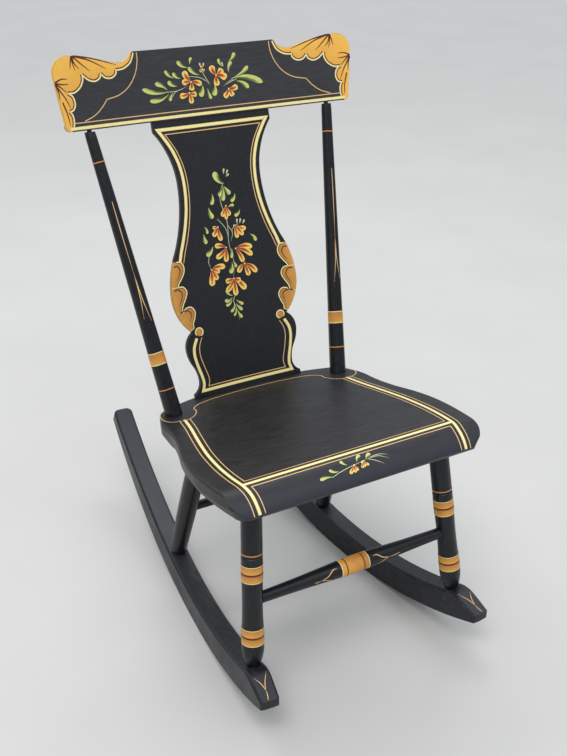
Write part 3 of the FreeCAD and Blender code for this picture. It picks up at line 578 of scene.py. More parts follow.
def two_tone_stroke(name, dark, middle, bright, bias):
    """Artist's enamel picked up in two colours on one brush: dark at the root, bright along one rim.

    The share along the stroke and the share across it, bent by a soft noise, choose the colour.
    """
    material, tree = blank_material(name)
    place = add_node(tree, "ShaderNodeTexCoord")
    parts = add_node(tree, "ShaderNodeSeparateXYZ", {"Vector": place.outputs["UV"]})
    wander = add_node(tree, "ShaderNodeTexNoise", {"Vector": place.outputs["Object"], "Scale": 120.0,
                                                    "Detail": 2.0}).outputs["Fac"]
    centred = add_node(tree, "ShaderNodeMath", {0: parts.outputs["Y"], 1: bias}, operation="SUBTRACT")
    off = add_node(tree, "ShaderNodeMath", {0: centred.outputs["Value"]},
                   operation="ABSOLUTE").outputs["Value"]
    along = add_node(tree, "ShaderNodeMath", {0: parts.outputs["X"], 1: 1.6},
                     operation="POWER").outputs["Value"]
    tipped = add_node(tree, "ShaderNodeMath", {0: along, 1: 0.55, 2: off}, operation="MULTIPLY_ADD")
    blend = add_node(tree, "ShaderNodeMath", {0: wander, 1: 0.30, 2: tipped.outputs["Value"]},
                     operation="MULTIPLY_ADD").outputs["Value"]
    low = add_node(tree, "ShaderNodeMapRange", {"Value": blend, "From Min": 0.24,
                                                "From Max": 0.46}).outputs["Result"]
    high = add_node(tree, "ShaderNodeMapRange", {"Value": blend, "From Min": 0.50,
                                                 "From Max": 0.74}).outputs["Result"]
    body = add_node(tree, "ShaderNodeMix", {0: low, 6: rgba(dark), 7: rgba(middle)}, data_type="RGBA")
    tint = add_node(tree, "ShaderNodeMix", {0: high, 6: body.outputs[2], 7: rgba(bright)},
                    data_type="RGBA")
    shader = add_node(tree, "ShaderNodeBsdfPrincipled", {
        "Base Color": tint.outputs[2], "Roughness": 0.42, "IOR": 1.5})
    close_material(tree, shader)
    return material


# Painted outlines, measured on the faces for the right-hand side

EAR_SCALLOPS = (
    ((115.9, 100.6), (122.0, 88.6), (131.0, 82.0), (138.5, 79.6), (147.0, 79.0)),
    ((147.0, 79.0), (148.2, 73.6), (155.5, 69.0), (165.0, 69.8), (172.0, 76.0)),
    ((172.0, 76.0), (174.6, 70.0), (183.0, 66.4), (192.6, 69.2), (201.3, 76.8)),
    ((201.3, 76.8), (201.6, 69.0), (207.0, 60.0), (217.0, 53.6), (227.3, 53.3)),
    ((227.3, 53.3), (220.6, 48.0), (218.6, 38.0), (222.0, 30.4), (228.0, 28.0)),
    ((228.0, 28.0), (224.8, 22.0), (224.2, 14.0), (225.6, 6.6)),
)
EAR_SPLITS = ((117.5, 103.0), (147.0, 89.0), (173.0, 95.4), (209.0, 103.2), (245.2, 84.0), (240.8, 34.0),
              (230.0, 0.0))
EAR_VEINS = (
    ((213.4, 103.2), (210.6, 92.6), (204.4, 84.9)), ((213.0, 103.2), (201.4, 92.4), (187.7, 80.4)),
    ((212.4, 103.2), (186.8, 95.2), (161.6, 81.6)), ((212.0, 103.2), (183.0, 97.8), (144.9, 86.2)),
    ((213.8, 103.2), (216.6, 93.5), (218.0, 86.0)), ((213.6, 103.2), (213.2, 93.7), (210.6, 82.0)),
    ((245.0, 68.8), (234.6, 72.9), (224.4, 72.6)), ((245.0, 68.2), (233.9, 65.9), (223.8, 65.6)),
    ((245.0, 67.7), (236.0, 61.4), (229.0, 54.0)), ((244.9, 67.0), (241.3, 56.4), (240.2, 44.8)),
    ((244.8, 66.4), (233.2, 48.5), (225.6, 32.0)), ((237.6, 42.5), (232.6, 24.2), (231.0, 8.4)),
)
CREST_SWEEP = ((110.3, 101.0), (111.2, 88.0), (117.4, 70.5), (130.0, 54.4), (147.0, 44.2), (167.8, 39.6))
CREST_SWEEP_TAIL = ((167.8, 39.6), (178.3, 28.0), (191.0, 19.0), (207.0, 13.0))

HIP_LOBES = (
    ((95.8, 219.6), (88.1, 218.7), (83.9, 211.9), (84.6, 203.0), (90.4, 193.3), (96.1, 186.5), (98.8, 181.0)),
    ((98.8, 181.0), (89.8, 179.8), (84.9, 171.8), (88.2, 162.2), (93.8, 153.1), (96.8, 145.9), (96.0, 139.8)),
    ((96.0, 139.8), (90.6, 146.0), (81.5, 146.2), (75.9, 138.0), (78.4, 127.0), (82.1, 119.7), (82.0, 112.0)),
)
HIP_SPLITS = ((97.6, 220.0), (109.6, 181.0), (106.0, 139.8), (88.6, 109.0))
HIP_VEINS = (
    ((100.8, 213.0), (95.4, 213.6), (91.0, 208.4), (92.4, 201.0), (98.6, 191.4)),
    ((106.6, 176.6), (99.4, 177.4), (93.4, 170.8), (95.4, 161.4), (101.6, 151.0)),
    ((102.6, 139.6), (94.6, 142.6), (86.6, 141.0), (83.0, 134.6), (86.6, 123.4)),
)
HIP_BALL = (73.8, 104.6)
HIP_BALL_RADIUS = 6.6
SPLAT_UPPER_YELLOW = ((88.6, 219.0), (83.8, 234.0), (76.6, 253.0), (68.6, 279.0), (63.4, 306.0),
                      (61.8, 335.0), (64.6, 362.0), (72.8, 387.0), (84.0, 407.0), (92.5, 419.8))
SPLAT_UPPER_THIN = ((82.6, 216.6), (77.2, 232.6), (70.2, 250.6), (62.4, 277.0), (57.2, 305.0), (55.6, 335.0),
                    (58.0, 360.0), (65.2, 384.0), (73.6, 400.0), (81.5, 412.6))
SPLAT_LOWER_YELLOW = ((79.6, 95.6), (86.2, 82.3), (87.7, 68.5), (84.8, 51.3), (80.3, 33.8), (78.6, 20.6),
                      (82.0, 9.4))
SPLAT_LOWER_THIN = ((70.8, 95.0), (76.6, 82.5), (77.9, 68.6), (74.6, 51.6), (69.4, 33.0), (68.4, 24.0),
                    (70.8, 15.2))

SIDE_STRIPE = ((146.6, 283.0), (151.6, 250.0), (158.5, 217.0), (166.0, 180.0), (171.6, 146.0), (175.2, 105.0),
               (175.4, 70.0), (173.2, 39.0), (170.4, 17.0), (168.9, -11.6))
SIDE_STRIPE_AT_FRONT = 173.2
FRONT_STRIPE_AT = 38.6
FRONT_STRIPE_LAP = 0.4
FRONT_STRIPE_SHARE = 1.1
THIN_OFFSET = 8.2
REAR_LINE = ((0.0, 338.5), (36.0, 337.5), (76.0, 333.5), (98.0, 328.5), (112.0, 320.5), (117.0, 314.0))
REAR_CURL = ((117.0, 314.0), (117.5, 303.0), (128.0, 288.0), (142.0, 280.5), (156.0, 281.5), (169.0, 288.5),
             (174.6, 304.0), (170.8, 322.0), (162.0, 332.0))


# How far later coats stand above the first one, so that no two skins share a place
RIM_COAT = 0.06
VEIN_COAT = 0.12
LEAF_COAT = 0.05
LEAF_STEP = 0.012
PETAL_COAT = 0.10
PETAL_STEP = 0.02
HEART_COAT = 0.24

# Widths of strokes, how far a shadow line stands off its rim, and how deep gold goes round an edge
CREST_EDGE_DEPTH = 8.0
CREST_SHADOW_OFF = 0.6
CREST_SHADOW_WIDTH = 1.7
CREST_VEIN_WIDTH = 2.4
CREST_FINE_LINE = (226.0, 11.4)
CREST_BROAD_LINE = (231.0, 4.1)
SPLAT_EDGE_DEPTH = 5.0
SPLAT_RIM_SHARE = 0.8
SPLAT_SHADOW_OFF = 0.4
SPLAT_SHADOW_WIDTH = 1.0
HIP_VEIN_WIDTH = 2.3
HIP_SEAM_SHARE = 0.5
HIP_BEAD_FROM = -70
HIP_BEAD_TO = 215


class ChairPaints(bpy.types.PropertyGroup):
    """The colours on the chair."""
    black: bpy.props.FloatVectorProperty(
        name="Black enamel", description="The ground colour of the wood", subtype="COLOR", size=3,
        min=0.0, max=1.0, default=srgb("0A0C12"))
    seat_black: bpy.props.FloatVectorProperty(
        name="Seat enamel", description="The warmer, sat-on black of the seat", subtype="COLOR", size=3,
        min=0.0, max=1.0, default=srgb("151515"))
    worn: bpy.props.FloatVectorProperty(
        name="Worn edge", description="What shows where the black is rubbed thin", subtype="COLOR", size=3,
        min=0.0, max=1.0, default=srgb("3A3B3D"))
    yellow: bpy.props.FloatVectorProperty(
        name="Stripe yellow", description="The broad stripes", subtype="COLOR", size=3,
        min=0.0, max=1.0, default=srgb("F8EAA2"))
    peach: bpy.props.FloatVectorProperty(
        name="Pinstripe peach", description="The fine stripes", subtype="COLOR", size=3,
        min=0.0, max=1.0, default=srgb("E8BC82"))
    gold: bpy.props.FloatVectorProperty(
        name="Amber gold", description="The gilded leaves and bands", subtype="COLOR", size=3,
        min=0.0, max=1.0, default=srgb("F7C052"))
    gold_deep: bpy.props.FloatVectorProperty(
        name="Deep gold", description="The shaded part of the gilding", subtype="COLOR", size=3,
        min=0.0, max=1.0, default=srgb("E3A440"))
    rim: bpy.props.FloatVectorProperty(
        name="Leaf rim", description="The pale line round the gilding", subtype="COLOR", size=3,
        min=0.0, max=1.0, default=srgb("F4E8A6"))
    vein: bpy.props.FloatVectorProperty(
        name="Vein brown", description="The dark strokes on the gilding", subtype="COLOR", size=3,
        min=0.0, max=1.0, default=srgb("5C2014"))
    petal_dark: bpy.props.FloatVectorProperty(
        name="Petal root", description="The deep red at a petal's root", subtype="COLOR", size=3,
        min=0.0, max=1.0, default=srgb("6A1E16"))
    petal: bpy.props.FloatVectorProperty(
        name="Petal", description="The orange red of a petal", subtype="COLOR", size=3,
        min=0.0, max=1.0, default=srgb("C24E28"))
    petal_rim: bpy.props.FloatVectorProperty(
        name="Petal rim", description="The yellow rim of a petal", subtype="COLOR", size=3,
        min=0.0, max=1.0, default=srgb("F5D268"))
    leaf_dark: bpy.props.FloatVectorProperty(
        name="Leaf shade", description="The dark green of a leaf", subtype="COLOR", size=3,
        min=0.0, max=1.0, default=srgb("264A26"))
    leaf: bpy.props.FloatVectorProperty(
        name="Leaf green", description="The body of a leaf", subtype="COLOR", size=3,
        min=0.0, max=1.0, default=srgb("55803A"))
    leaf_light: bpy.props.FloatVectorProperty(
        name="Leaf light", description="The yellow green edge of a leaf", subtype="COLOR", size=3,
        min=0.0, max=1.0, default=srgb("CFCE74"))
    stem: bpy.props.FloatVectorProperty(
        name="Stem", description="The fine pale stems", subtype="COLOR", size=3,
        min=0.0, max=1.0, default=srgb("C9CBA0"))


class ChairStriping(bpy.types.PropertyGroup):
    """The widths of the painted lines."""
    seat_stripe: bpy.props.FloatProperty(
        name="Seat stripe", description="Width of the broad stripe on the seat", unit="LENGTH",
        default=4.9 * MM)
    crest_stripe: bpy.props.FloatProperty(
        name="Crest stripe", description="Width of the broad stripe on the crest rail", unit="LENGTH",
        default=4.6 * MM)
    splat_stripe: bpy.props.FloatProperty(
        name="Splat stripe", description="Width of the broad stripe on the splat", unit="LENGTH",
        default=5.2 * MM)
    pinstripe: bpy.props.FloatProperty(
        name="Pinstripe", description="Width of a fine stripe", unit="LENGTH", default=1.5 * MM)
    rim: bpy.props.FloatProperty(
        name="Leaf rim", description="Width of the pale line round the gilding", unit="LENGTH",
        default=2.6 * MM)
    lift: bpy.props.FloatProperty(
        name="Paint lift", description="How far the first coat stands off the wood", unit="LENGTH",
        default=0.25 * MM)


class ChairStudio(bpy.types.PropertyGroup):
    """The floor, the lamps and the camera."""
    floor: bpy.props.FloatVectorProperty(
        name="Floor", description="The plain pale floor", subtype="COLOR", size=3, min=0.0, max=1.0,
        default=srgb("C5C4BF"))
    lamp: bpy.props.FloatProperty(
        name="Lamp", description="Power of the large ceiling lamp in watts", default=20.0, unit="POWER")
    fill: bpy.props.FloatProperty(
        name="Sky", description="Strength of the even light from all round", default=0.62)
    lens: bpy.props.FloatProperty(
        name="Lens", description="Focal length in millimetres", default=48.095, unit="CAMERA")


def settings(context):
    scene = context.scene
    return scene.chair_paints, scene.chair_striping, scene.chair_studio


def both(face):
    return (face, mirrored(face))


def level_line(half, height):
    """A straight line at one height, from half its length on the left to half on the right."""
    return curve_through(((-half, height), (half, height)), 40)


def seat_side_lines(offset):
    """The side stripe's line moved across by an offset, toward the seat's edge when it is positive."""
    path = curve_through(SIDE_STRIPE)
    return path + sideways(path) * offset


class ROCKER_OT_wood(bpy.types.Operator):
    """Paints every piece of wood black, with the wear that its place in use gives it"""
    bl_idname = "rocker.wood"
    bl_label = "Paint the wood"

    def execute(self, context):
        paints = settings(context)[0]
        black, worn = tuple(paints.black), tuple(paints.worn)
        # The noise is stretched twenty times along the way that the brush went
        across = (0.05, 1.0, 1.0)
        upright = (1.0, 1.0, 0.05)
        lengthwise = (1.0, 0.05, 1.0)
        dusty = srgb("55565B")
        # Painted sheen: the seat's front roll, facing forward, and the slope of each rocker's nose, facing
        # forward and up, are painted lighter for the light that falls on them
        roll_painted_sheen = ((0.0, -1.0, 0.0), (0.15, 0.75), srgb("2C2E35"))
        nose_painted_sheen = ((0.0, -0.32, 0.947), (0.955, 0.995), srgb("35353A"))
        # Satin black enamel on wood: dusty and dull on the crest rail, seat and rockers, cleaner on the
        # splat, and glossier on the turnings, which a cloth goes round easily
        back = black_paint("black_enamel_back", mixed(black, worn, 0.65), dusty, 0.40, across, 0.5)
        board = black_paint("black_enamel_splat", mixed(black, worn, 0.15), worn, 0.38, upright, 0.5)
        seat = black_paint("black_enamel_seat", tuple(paints.seat_black), dusty, 0.40, across, 0.9,
                           roll_painted_sheen)
        turned = black_paint("black_enamel_turned", black, worn, 0.30, upright, 0.5)
        rail = black_paint("black_enamel_stretcher", black, worn, 0.36, across, 0.5)
        rocker = black_paint("black_enamel_rocker", black, dusty, 0.42, lengthwise, 1.4, nose_painted_sheen)
        chosen = {"crest_rail": back, "crest_pegs": back, "back_splat": board, "seat_plank": seat,
                  "front_stretcher": rail, "rear_stretcher": rail, "rocker_pegs": rocker}
        for name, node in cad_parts.items():
            finish = chosen.get(name) or (rocker if name.startswith("rocker_") else turned)
            node.data.materials.clear()
            node.data.materials.append(finish)
        return {"FINISHED"}


class ROCKER_OT_seat_stripes(bpy.types.Operator):
    """Draws the broad and fine stripes round the seat and over its front roll"""
    bl_idname = "rocker.seat_stripes"
    bl_label = "Stripe the seat"

    def execute(self, context):
        striping = settings(context)[1]
        lift = striping.lift / MM
        broad = Painting("seat_broad_stripes", "stripe_yellow", "seat_paint", lift)
        width = striping.seat_stripe / MM
        sides = both(seat_face)
        broad.add(sides, ribbon(curve_through(SIDE_STRIPE), width))
        half = SIDE_STRIPE_AT_FRONT - width / 2 + FRONT_STRIPE_LAP
        front = np.linspace((-half, FRONT_STRIPE_AT), (half, FRONT_STRIPE_AT), 30)
        broad.add((seat_face,), ribbon(front, width * FRONT_STRIPE_SHARE))
        broad.finish()
        fine = Painting("seat_fine_stripes", "pinstripe_peach", "seat_paint", lift)
        pin = striping.pinstripe / MM
        outer = seat_side_lines(THIN_OFFSET)
        inner = seat_side_lines(-THIN_OFFSET)
        fine.add(sides, ribbon(outer, pin))
        panel_at = FRONT_STRIPE_AT + THIN_OFFSET
        roll_at = FRONT_STRIPE_AT - THIN_OFFSET
        panel = inner[inner[:, 1] > panel_at]
        corner = np.array([[panel[-1, 0], panel_at]])
        centre = np.array([[0.0, panel_at]])
        fine.add(sides, ribbon(np.vstack([panel, corner, centre]), pin))
        roll = inner[inner[:, 1] < roll_at]
        corner = np.array([[roll[0, 0], roll_at]])
        centre = np.array([[0.0, roll_at]])
        fine.add(sides, ribbon(np.vstack([centre, corner, roll]), pin))
        fine.add(sides, ribbon(np.vstack([curve_through(REAR_LINE), curve_through(REAR_CURL)[1:]]), pin))
        fine.finish()
        return {"FINISHED"}


class ROCKER_OT_crest_gilding(bpy.types.Operator):
    """Lays the scalloped gold leaves on the ears of the crest rail, with their rims and veins"""
    bl_idname = "rocker.crest_gilding"
    bl_label = "Gild the crest rail"

    def execute(self, context):
        striping = settings(context)[1]
        lift = striping.lift / MM
        ears = both(crest_face)
        gold = Painting("crest_gold_leaves", "amber_gold", "back_paint", lift)
        rim = Painting("crest_leaf_rims", "leaf_rim", "back_paint", lift + RIM_COAT)
        vein = Painting("crest_leaf_veins", "vein_brown", "back_paint", lift + VEIN_COAT)
        width = striping.rim / MM
        outline = ear_outline()
        for first, last, scallop in zip(EAR_SPLITS, EAR_SPLITS[1:], EAR_SCALLOPS):
            inner = curve_through(scallop)
            gold.add(ears, between(outline_span(outline, first, last, len(inner)), inner, 9))
            rim.add(ears, ribbon(inner, width))
            shadow = inner + sideways(inner) * (width / 2 + CREST_SHADOW_OFF)
            vein.add(ears, ribbon(shadow, CREST_SHADOW_WIDTH))
        board_edge(gold, outline, CREST_BASE, CREST_LEAN, CREST_EDGE_DEPTH)
        for points in EAR_VEINS:
            vein.add(ears, taper_stroke(points, CREST_VEIN_WIDTH))
        for painting in (gold, rim, vein):
            painting.finish()
        return {"FINISHED"}


class ROCKER_OT_crest_lines(bpy.types.Operator):
    """Draws the sweeping pinstripes of the crest rail and the two lines along its foot"""
    bl_idname = "rocker.crest_lines"
    bl_label = "Stripe the crest rail"

    def execute(self, context):
        striping = settings(context)[1]
        lift = striping.lift / MM
        fine = Painting("crest_fine_stripes", "pinstripe_peach", "back_paint", lift)
        pin = striping.pinstripe / MM
        fine.add(both(crest_face), ribbon(curve_through(CREST_SWEEP), pin))
        fine.add(both(crest_face), ribbon(curve_through(CREST_SWEEP_TAIL), pin))
        fine.add((crest_face,), ribbon(level_line(*CREST_FINE_LINE), pin))
        fine.finish()
        broad = Painting("crest_broad_stripe", "stripe_yellow", "back_paint", lift)
        broad.add((crest_face,), ribbon(level_line(*CREST_BROAD_LINE), striping.crest_stripe / MM))
        broad.finish()
        return {"FINISHED"}


class ROCKER_OT_splat_gilding(bpy.types.Operator):
    """Lays the gold lobes and the ball at the hips of the splat, with their rims and veins"""
    bl_idname = "rocker.splat_gilding"
    bl_label = "Gild the splat"

    def execute(self, context):
        striping = settings(context)[1]
        lift = striping.lift / MM
        hips = both(splat_face)
        gold = Painting("splat_gold_lobes", "ochre_gold", "back_paint", lift)
        rim = Painting("splat_lobe_rims", "leaf_rim", "back_paint", lift + RIM_COAT)
        vein = Painting("splat_lobe_veins", "vein_brown", "back_paint", lift + VEIN_COAT)
        width = striping.rim / MM * SPLAT_RIM_SHARE
        outline = hip_outline()
        for first, last, lobe, stroke in zip(HIP_SPLITS, HIP_SPLITS[1:], HIP_LOBES, HIP_VEINS):
            inner = curve_through(lobe)
            gold.add(hips, between(outline_span(outline, first, last, len(inner)), inner, 8))
            rim.add(hips, ribbon(inner, width))
            rim.add(hips, ribbon(curve_through((last, lobe[-1])), width * HIP_SEAM_SHARE))
            shadow = inner + sideways(inner) * (width / 2 + SPLAT_SHADOW_OFF)
            vein.add(hips, ribbon(shadow, SPLAT_SHADOW_WIDTH))
            vein.add(hips, taper_stroke(stroke, HIP_VEIN_WIDTH))
        edge = outline_span(outline, HIP_SPLITS[0], HIP_SPLITS[-1], 40)
        board_edge(gold, edge, SPLAT_BASE, SPLAT_LEAN, SPLAT_EDGE_DEPTH)
        gold.add(hips, disc(HIP_BALL, HIP_BALL_RADIUS))
        angle = np.linspace(math.radians(HIP_BEAD_FROM), math.radians(HIP_BEAD_TO), 30)
        bead = np.array(HIP_BALL) + np.stack([-np.cos(angle), np.sin(angle)], axis=1) * HIP_BALL_RADIUS
        rim.add(hips, ribbon(bead, width))
        for painting in (gold, rim, vein):
            painting.finish()
        return {"FINISHED"}


class ROCKER_OT_splat_lines(bpy.types.Operator):
    """Draws the broad and fine border that follows the splat's outline"""
    bl_idname = "rocker.splat_lines"
    bl_label = "Stripe the splat"

    def execute(self, context):
        striping = settings(context)[1]
        lift = striping.lift / MM
        broad = Painting("splat_broad_stripes", "stripe_yellow", "back_paint", lift)
        fine = Painting("splat_fine_stripes", "pinstripe_peach", "back_paint", lift)
        for painting, width, upper, lower in (
                (broad, striping.splat_stripe / MM, SPLAT_UPPER_YELLOW, SPLAT_LOWER_YELLOW),
                (fine, striping.pinstripe / MM, SPLAT_UPPER_THIN, SPLAT_LOWER_THIN)):
            for points in (upper, lower):
                path = curve_through(points)
                middle = np.array([[0.0, points[-1][1]]])
                level = np.linspace(path[-1], middle[0], 20)[1:]
                painting.add(both(splat_face), ribbon(np.vstack([path, level]), width))
            painting.finish()
        return {"FINISHED"}


# Flowers as (heart, petals), a petal as (tip, width, bend), and leaves as (base, tip, width, bend)

CREST_FLOWERS = (
    ((-27.0, 52.0), (((-37.0, 69.0), 12.5, 0.10), ((-42.0, 51.0), 11.2, -0.10), ((-28.0, 39.5), 11.2, 0.05),
                     ((-10.0, 46.5), 10.6, 0.10))),
    ((16.0, 58.5), (((10.0, 73.0), 13.1, 0.10), ((27.0, 67.0), 12.5, -0.10), ((33.0, 52.5), 13.8, 0.10),
                    ((16.5, 42.5), 12.5, -0.05))),
    ((-32.0, 36.5), (((-48.5, 33.5), 11.2, 0.10), ((-20.0, 34.0), 10.0, -0.10), ((-30.5, 20.5), 10.6, 0.05))),
    ((34.5, 36.5), (((25.5, 24.5), 11.2, 0.10), ((50.0, 39.5), 11.2, -0.10), ((39.5, 24.5), 10.0, 0.05))),
    ((-5.9, 68.3), (((-10.5, 66.0), 5.6, 0.0), ((-2.5, 66.5), 5.6, 0.0), ((-7.5, 74.0), 5.0, 0.0))),
)
CREST_LEAVES = (
    ((-66.0, 41.6), (-109.0, 48.6), 9.0, 0.08), ((-67.0, 43.5), (-87.0, 54.5), 9.0, -0.10),
    ((-66.0, 38.0), (-99.0, 30.5), 8.5, 0.10), ((-50.8, 48.2), (-65.5, 56.0), 8.5, 0.10),
    ((-59.4, 39.5), (-65.5, 27.5), 7.0, -0.10), ((-53.4, 60.0), (-68.5, 72.0), 7.0, 0.10),
    ((-43.4, 58.5), (-56.0, 67.5), 7.5, 0.10), ((-29.4, 73.4), (-46.5, 83.5), 8.0, 0.10),
    ((-25.0, 77.0), (-22.0, 87.5), 6.0, 0.10), ((-11.0, 61.0), (-29.0, 73.5), 8.0, 0.10),
    ((-9.2, 46.0), (-14.8, 29.5), 11.0, 0.10), ((-0.9, 40.7), (4.0, 24.5), 7.0, -0.10),
    ((11.3, 46.0), (8.6, 28.5), 11.0, 0.08), ((38.9, 50.7), (93.5, 40.5), 12.0, 0.10),
    ((49.4, 53.0), (71.0, 67.5), 8.0, -0.08), ((48.0, 46.6), (69.0, 34.5), 9.0, 0.10),
    ((37.9, 60.4), (44.0, 76.5), 8.0, 0.10), ((29.4, 69.6), (22.5, 82.0), 6.5, 0.10),
    ((38.8, 76.0), (50.5, 89.0), 8.0, -0.15),
)
CREST_STEMS = (
    ((-70.0, 40.6), (-50.0, 41.5), (-33.0, 47.0)), ((-33.0, 61.0), (-12.0, 57.0), (0.0, 50.0), (5.0, 44.0)),
    ((-8.0, 68.0), (-2.0, 56.0), (4.0, 47.0)), ((52.0, 50.5), (38.0, 46.0), (26.0, 41.0)),
    ((58.0, 59.0), (44.0, 50.5), (30.0, 44.5)), ((-61.0, 33.0), (-56.0, 39.0), (-46.0, 43.0)),
)
SPLAT_FLOWERS = (
    ((4.0, 293.0), (((-5.5, 277.5), 10.4, 0.05), ((9.0, 277.0), 9.8, -0.05), ((1.5, 271.5), 7.9, 0.0))),
    ((13.4, 260.5), (((16.0, 240.0), 9.8, 0.05), ((33.5, 253.5), 10.4, -0.10), ((27.0, 243.0), 9.8, 0.05))),
    ((-15.0, 262.0), (((-25.5, 249.0), 10.4, 0.05), ((-12.0, 240.0), 10.4, -0.05),
                      ((-24.0, 262.0), 7.3, 0.0))),
    ((-5.7, 228.3), (((-25.0, 233.0), 10.4, -0.10), ((-25.5, 214.5), 11.0, 0.10),
                     ((-8.8, 205.5), 11.0, 0.0))),
    ((10.4, 224.2), (((40.0, 222.0), 11.6, 0.10), ((38.5, 209.0), 11.6, 0.10), ((21.0, 200.5), 11.0, 0.05))),
    ((22.7, 198.0), (((10.0, 185.0), 11.0, -0.10), ((28.0, 177.5), 11.6, 0.0), ((42.0, 180.5), 11.6, 0.10))),
    ((-36.5, 198.0), (((-12.0, 198.5), 11.6, 0.10), ((-23.0, 191.0), 9.8, 0.10), ((-28.0, 180.5), 11.0, 0.0),
                      ((-39.0, 172.0), 13.4, 0.0))),
    ((0.2, 177.6), (((-14.8, 175.0), 10.4, 0.05), ((-15.6, 159.5), 11.0, 0.10), ((0.1, 149.5), 12.2, 0.0),
                    ((19.0, 157.0), 13.4, 0.05), ((12.0, 172.5), 10.4, -0.05))),
)
SPLAT_LEAVES = (
    ((6.0, 327.0), (-8.0, 347.5), 12.5, 0.15), ((3.5, 324.0), (-5.5, 309.0), 10.0, 0.05),
    ((4.5, 324.0), (14.5, 310.0), 9.5, -0.05), ((3.8, 322.0), (0.7, 301.0), 9.0, 0.0),
    ((7.4, 289.9), (18.0, 292.5), 6.5, 0.05), ((22.4, 310.4), (14.0, 298.0), 8.0, 0.10),
    ((27.4, 284.0), (16.8, 275.0), 8.0, 0.10), ((38.6, 243.0), (48.4, 230.5), 7.5, 0.10),
    ((-17.4, 314.5), (-20.8, 298.0), 8.5, 0.10), ((-26.4, 294.5), (-20.6, 277.0), 10.0, -0.10),
    ((-38.4, 266.0), (-34.4, 254.5), 6.0, 0.10), ((-41.4, 255.5), (-38.0, 239.5), 8.5, -0.10),
    ((-28.4, 234.0), (-41.4, 220.5), 10.0, 0.10), ((0.5, 203.0), (-4.6, 186.5), 10.0, 0.10),
    ((3.6, 226.0), (1.4, 210.0), 7.0, 0.0), ((2.6, 205.5), (7.8, 194.5), 6.5, 0.0),
    ((-5.0, 150.0), (-16.4, 161.5), 6.5, 0.10), ((-7.0, 148.0), (-21.0, 145.0), 8.0, 0.15),
    ((-7.6, 144.5), (-20.0, 136.5), 7.0, 0.10), ((-1.0, 143.0), (11.0, 134.0), 7.0, -0.10),
    ((-3.0, 138.0), (8.2, 125.0), 7.5, -0.10), ((-5.0, 138.0), (-12.8, 124.5), 6.5, 0.10),
    ((-1.6, 127.0), (6.0, 112.5), 7.0, -0.10), ((-3.6, 131.0), (-8.4, 117.5), 5.5, 0.10),
)
SPLAT_BUDS = (
    ((7.4, 342.0), (9.4, 350.5)), ((12.0, 341.0), (15.6, 348.0)), ((11.0, 337.5), (16.6, 341.5)),
    ((19.0, 262.0), (20.0, 270.5)), ((23.6, 262.0), (26.2, 270.0)), ((28.4, 260.5), (32.8, 266.8)),
)
CREST_BUDS = (
    ((-8.4, 72.0), (-9.4, 78.5)), ((-4.0, 72.0), (-2.6, 78.0)), ((40.0, 33.0), (43.0, 26.5)),
    ((30.0, 70.0), (27.0, 76.5)),
)
SPLAT_STEMS = (
    ((5.0, 330.0), (-4.5, 306.0), (2.3, 268.0), (0.3, 233.0), (5.0, 199.0), (0.0, 180.0)),
    ((3.0, 262.0), (9.0, 250.0), (4.0, 236.0)), ((-14.0, 275.0), (-2.0, 258.0), (1.0, 240.0)),
    ((-0.5, 152.0), (-5.6, 142.0), (-2.0, 126.0), (0.5, 108.0)),
    ((-36.0, 222.0), (-39.5, 210.0), (-37.0, 198.0)),
    ((21.0, 262.0), (13.0, 259.0), (7.0, 250.0)),
)
ROLL_FLOWERS = (
    ((-13.0, 14.5), (((-24.5, 4.5), 6.6, 0.05), ((-16.0, 3.8), 6.0, 0.0), ((-10.5, 5.5), 5.4, 0.0))),
    ((0.0, 14.5), (((-3.0, 7.0), 5.4, 0.05), ((2.5, 7.5), 5.4, 0.0), ((9.0, 9.0), 5.4, 0.0))),
)
ROLL_LEAVES = (
    ((-49.5, 7.0), (-70.5, 8.0), 6.5, -0.10), ((-38.4, 12.4), (-51.5, 18.5), 6.5, 0.10),
    ((-21.5, 17.5), (-28.5, 27.5), 6.5, 0.10), ((-6.4, 17.4), (4.0, 28.0), 6.5, 0.10),
    ((8.5, 18.0), (19.5, 26.0), 7.0, 0.05), ((-3.0, 15.5), (5.5, 16.5), 4.0, 0.0),
)
ROLL_STEMS = (
    ((-52.0, 6.6), (-38.0, 10.5), (-22.0, 13.6), (-6.0, 15.6), (12.0, 17.6)),
    ((12.0, 18.0), (28.2, 17.6), (42.6, 9.6)), ((12.0, 17.4), (22.0, 11.6), (32.0, 4.0)),
    ((16.0, 19.6), (31.0, 19.8), (44.0, 15.2)),
)


SPRAY_STEM_WIDTH = 1.1
BUD_WIDTH = 4.2
HEART_RADIUS = 1.3


def paint_spray(name, face, slot, flowers, leaves, stems, buds, lift):
    """One spray: stems first, leaves over them, then the petals and a bright heart to each flower."""
    stem = Painting(name + "_stems", "stem_cream", slot, lift)
    leaf = Painting(name + "_leaves", "leaf_green", slot, lift + LEAF_COAT)
    petal = Painting(name + "_petals", "petal_red", slot, lift + PETAL_COAT)
    heart = Painting(name + "_hearts", "leaf_rim", slot, lift + HEART_COAT)
    for points in stems:
        stem.add((face,), brush_stroke(points, SPRAY_STEM_WIDTH))
    for base, tip in buds:
        stem.add((face,), drop_stroke(base, tip, BUD_WIDTH))
    for number, (base, tip, width, bend) in enumerate(leaves):
        leaf.add((face,), drop_stroke(base, tip, width, bend), LEAF_STEP * (number % 4))
    for centre, petals in flowers:
        for number, (tip, width, bend) in enumerate(petals):
            petal.add((face,), drop_stroke(centre, tip, width, bend), PETAL_STEP * number)
        heart.add((face,), disc(centre, HEART_RADIUS, 12, 3))
    for painting in (stem, leaf, petal, heart):
        painting.finish()


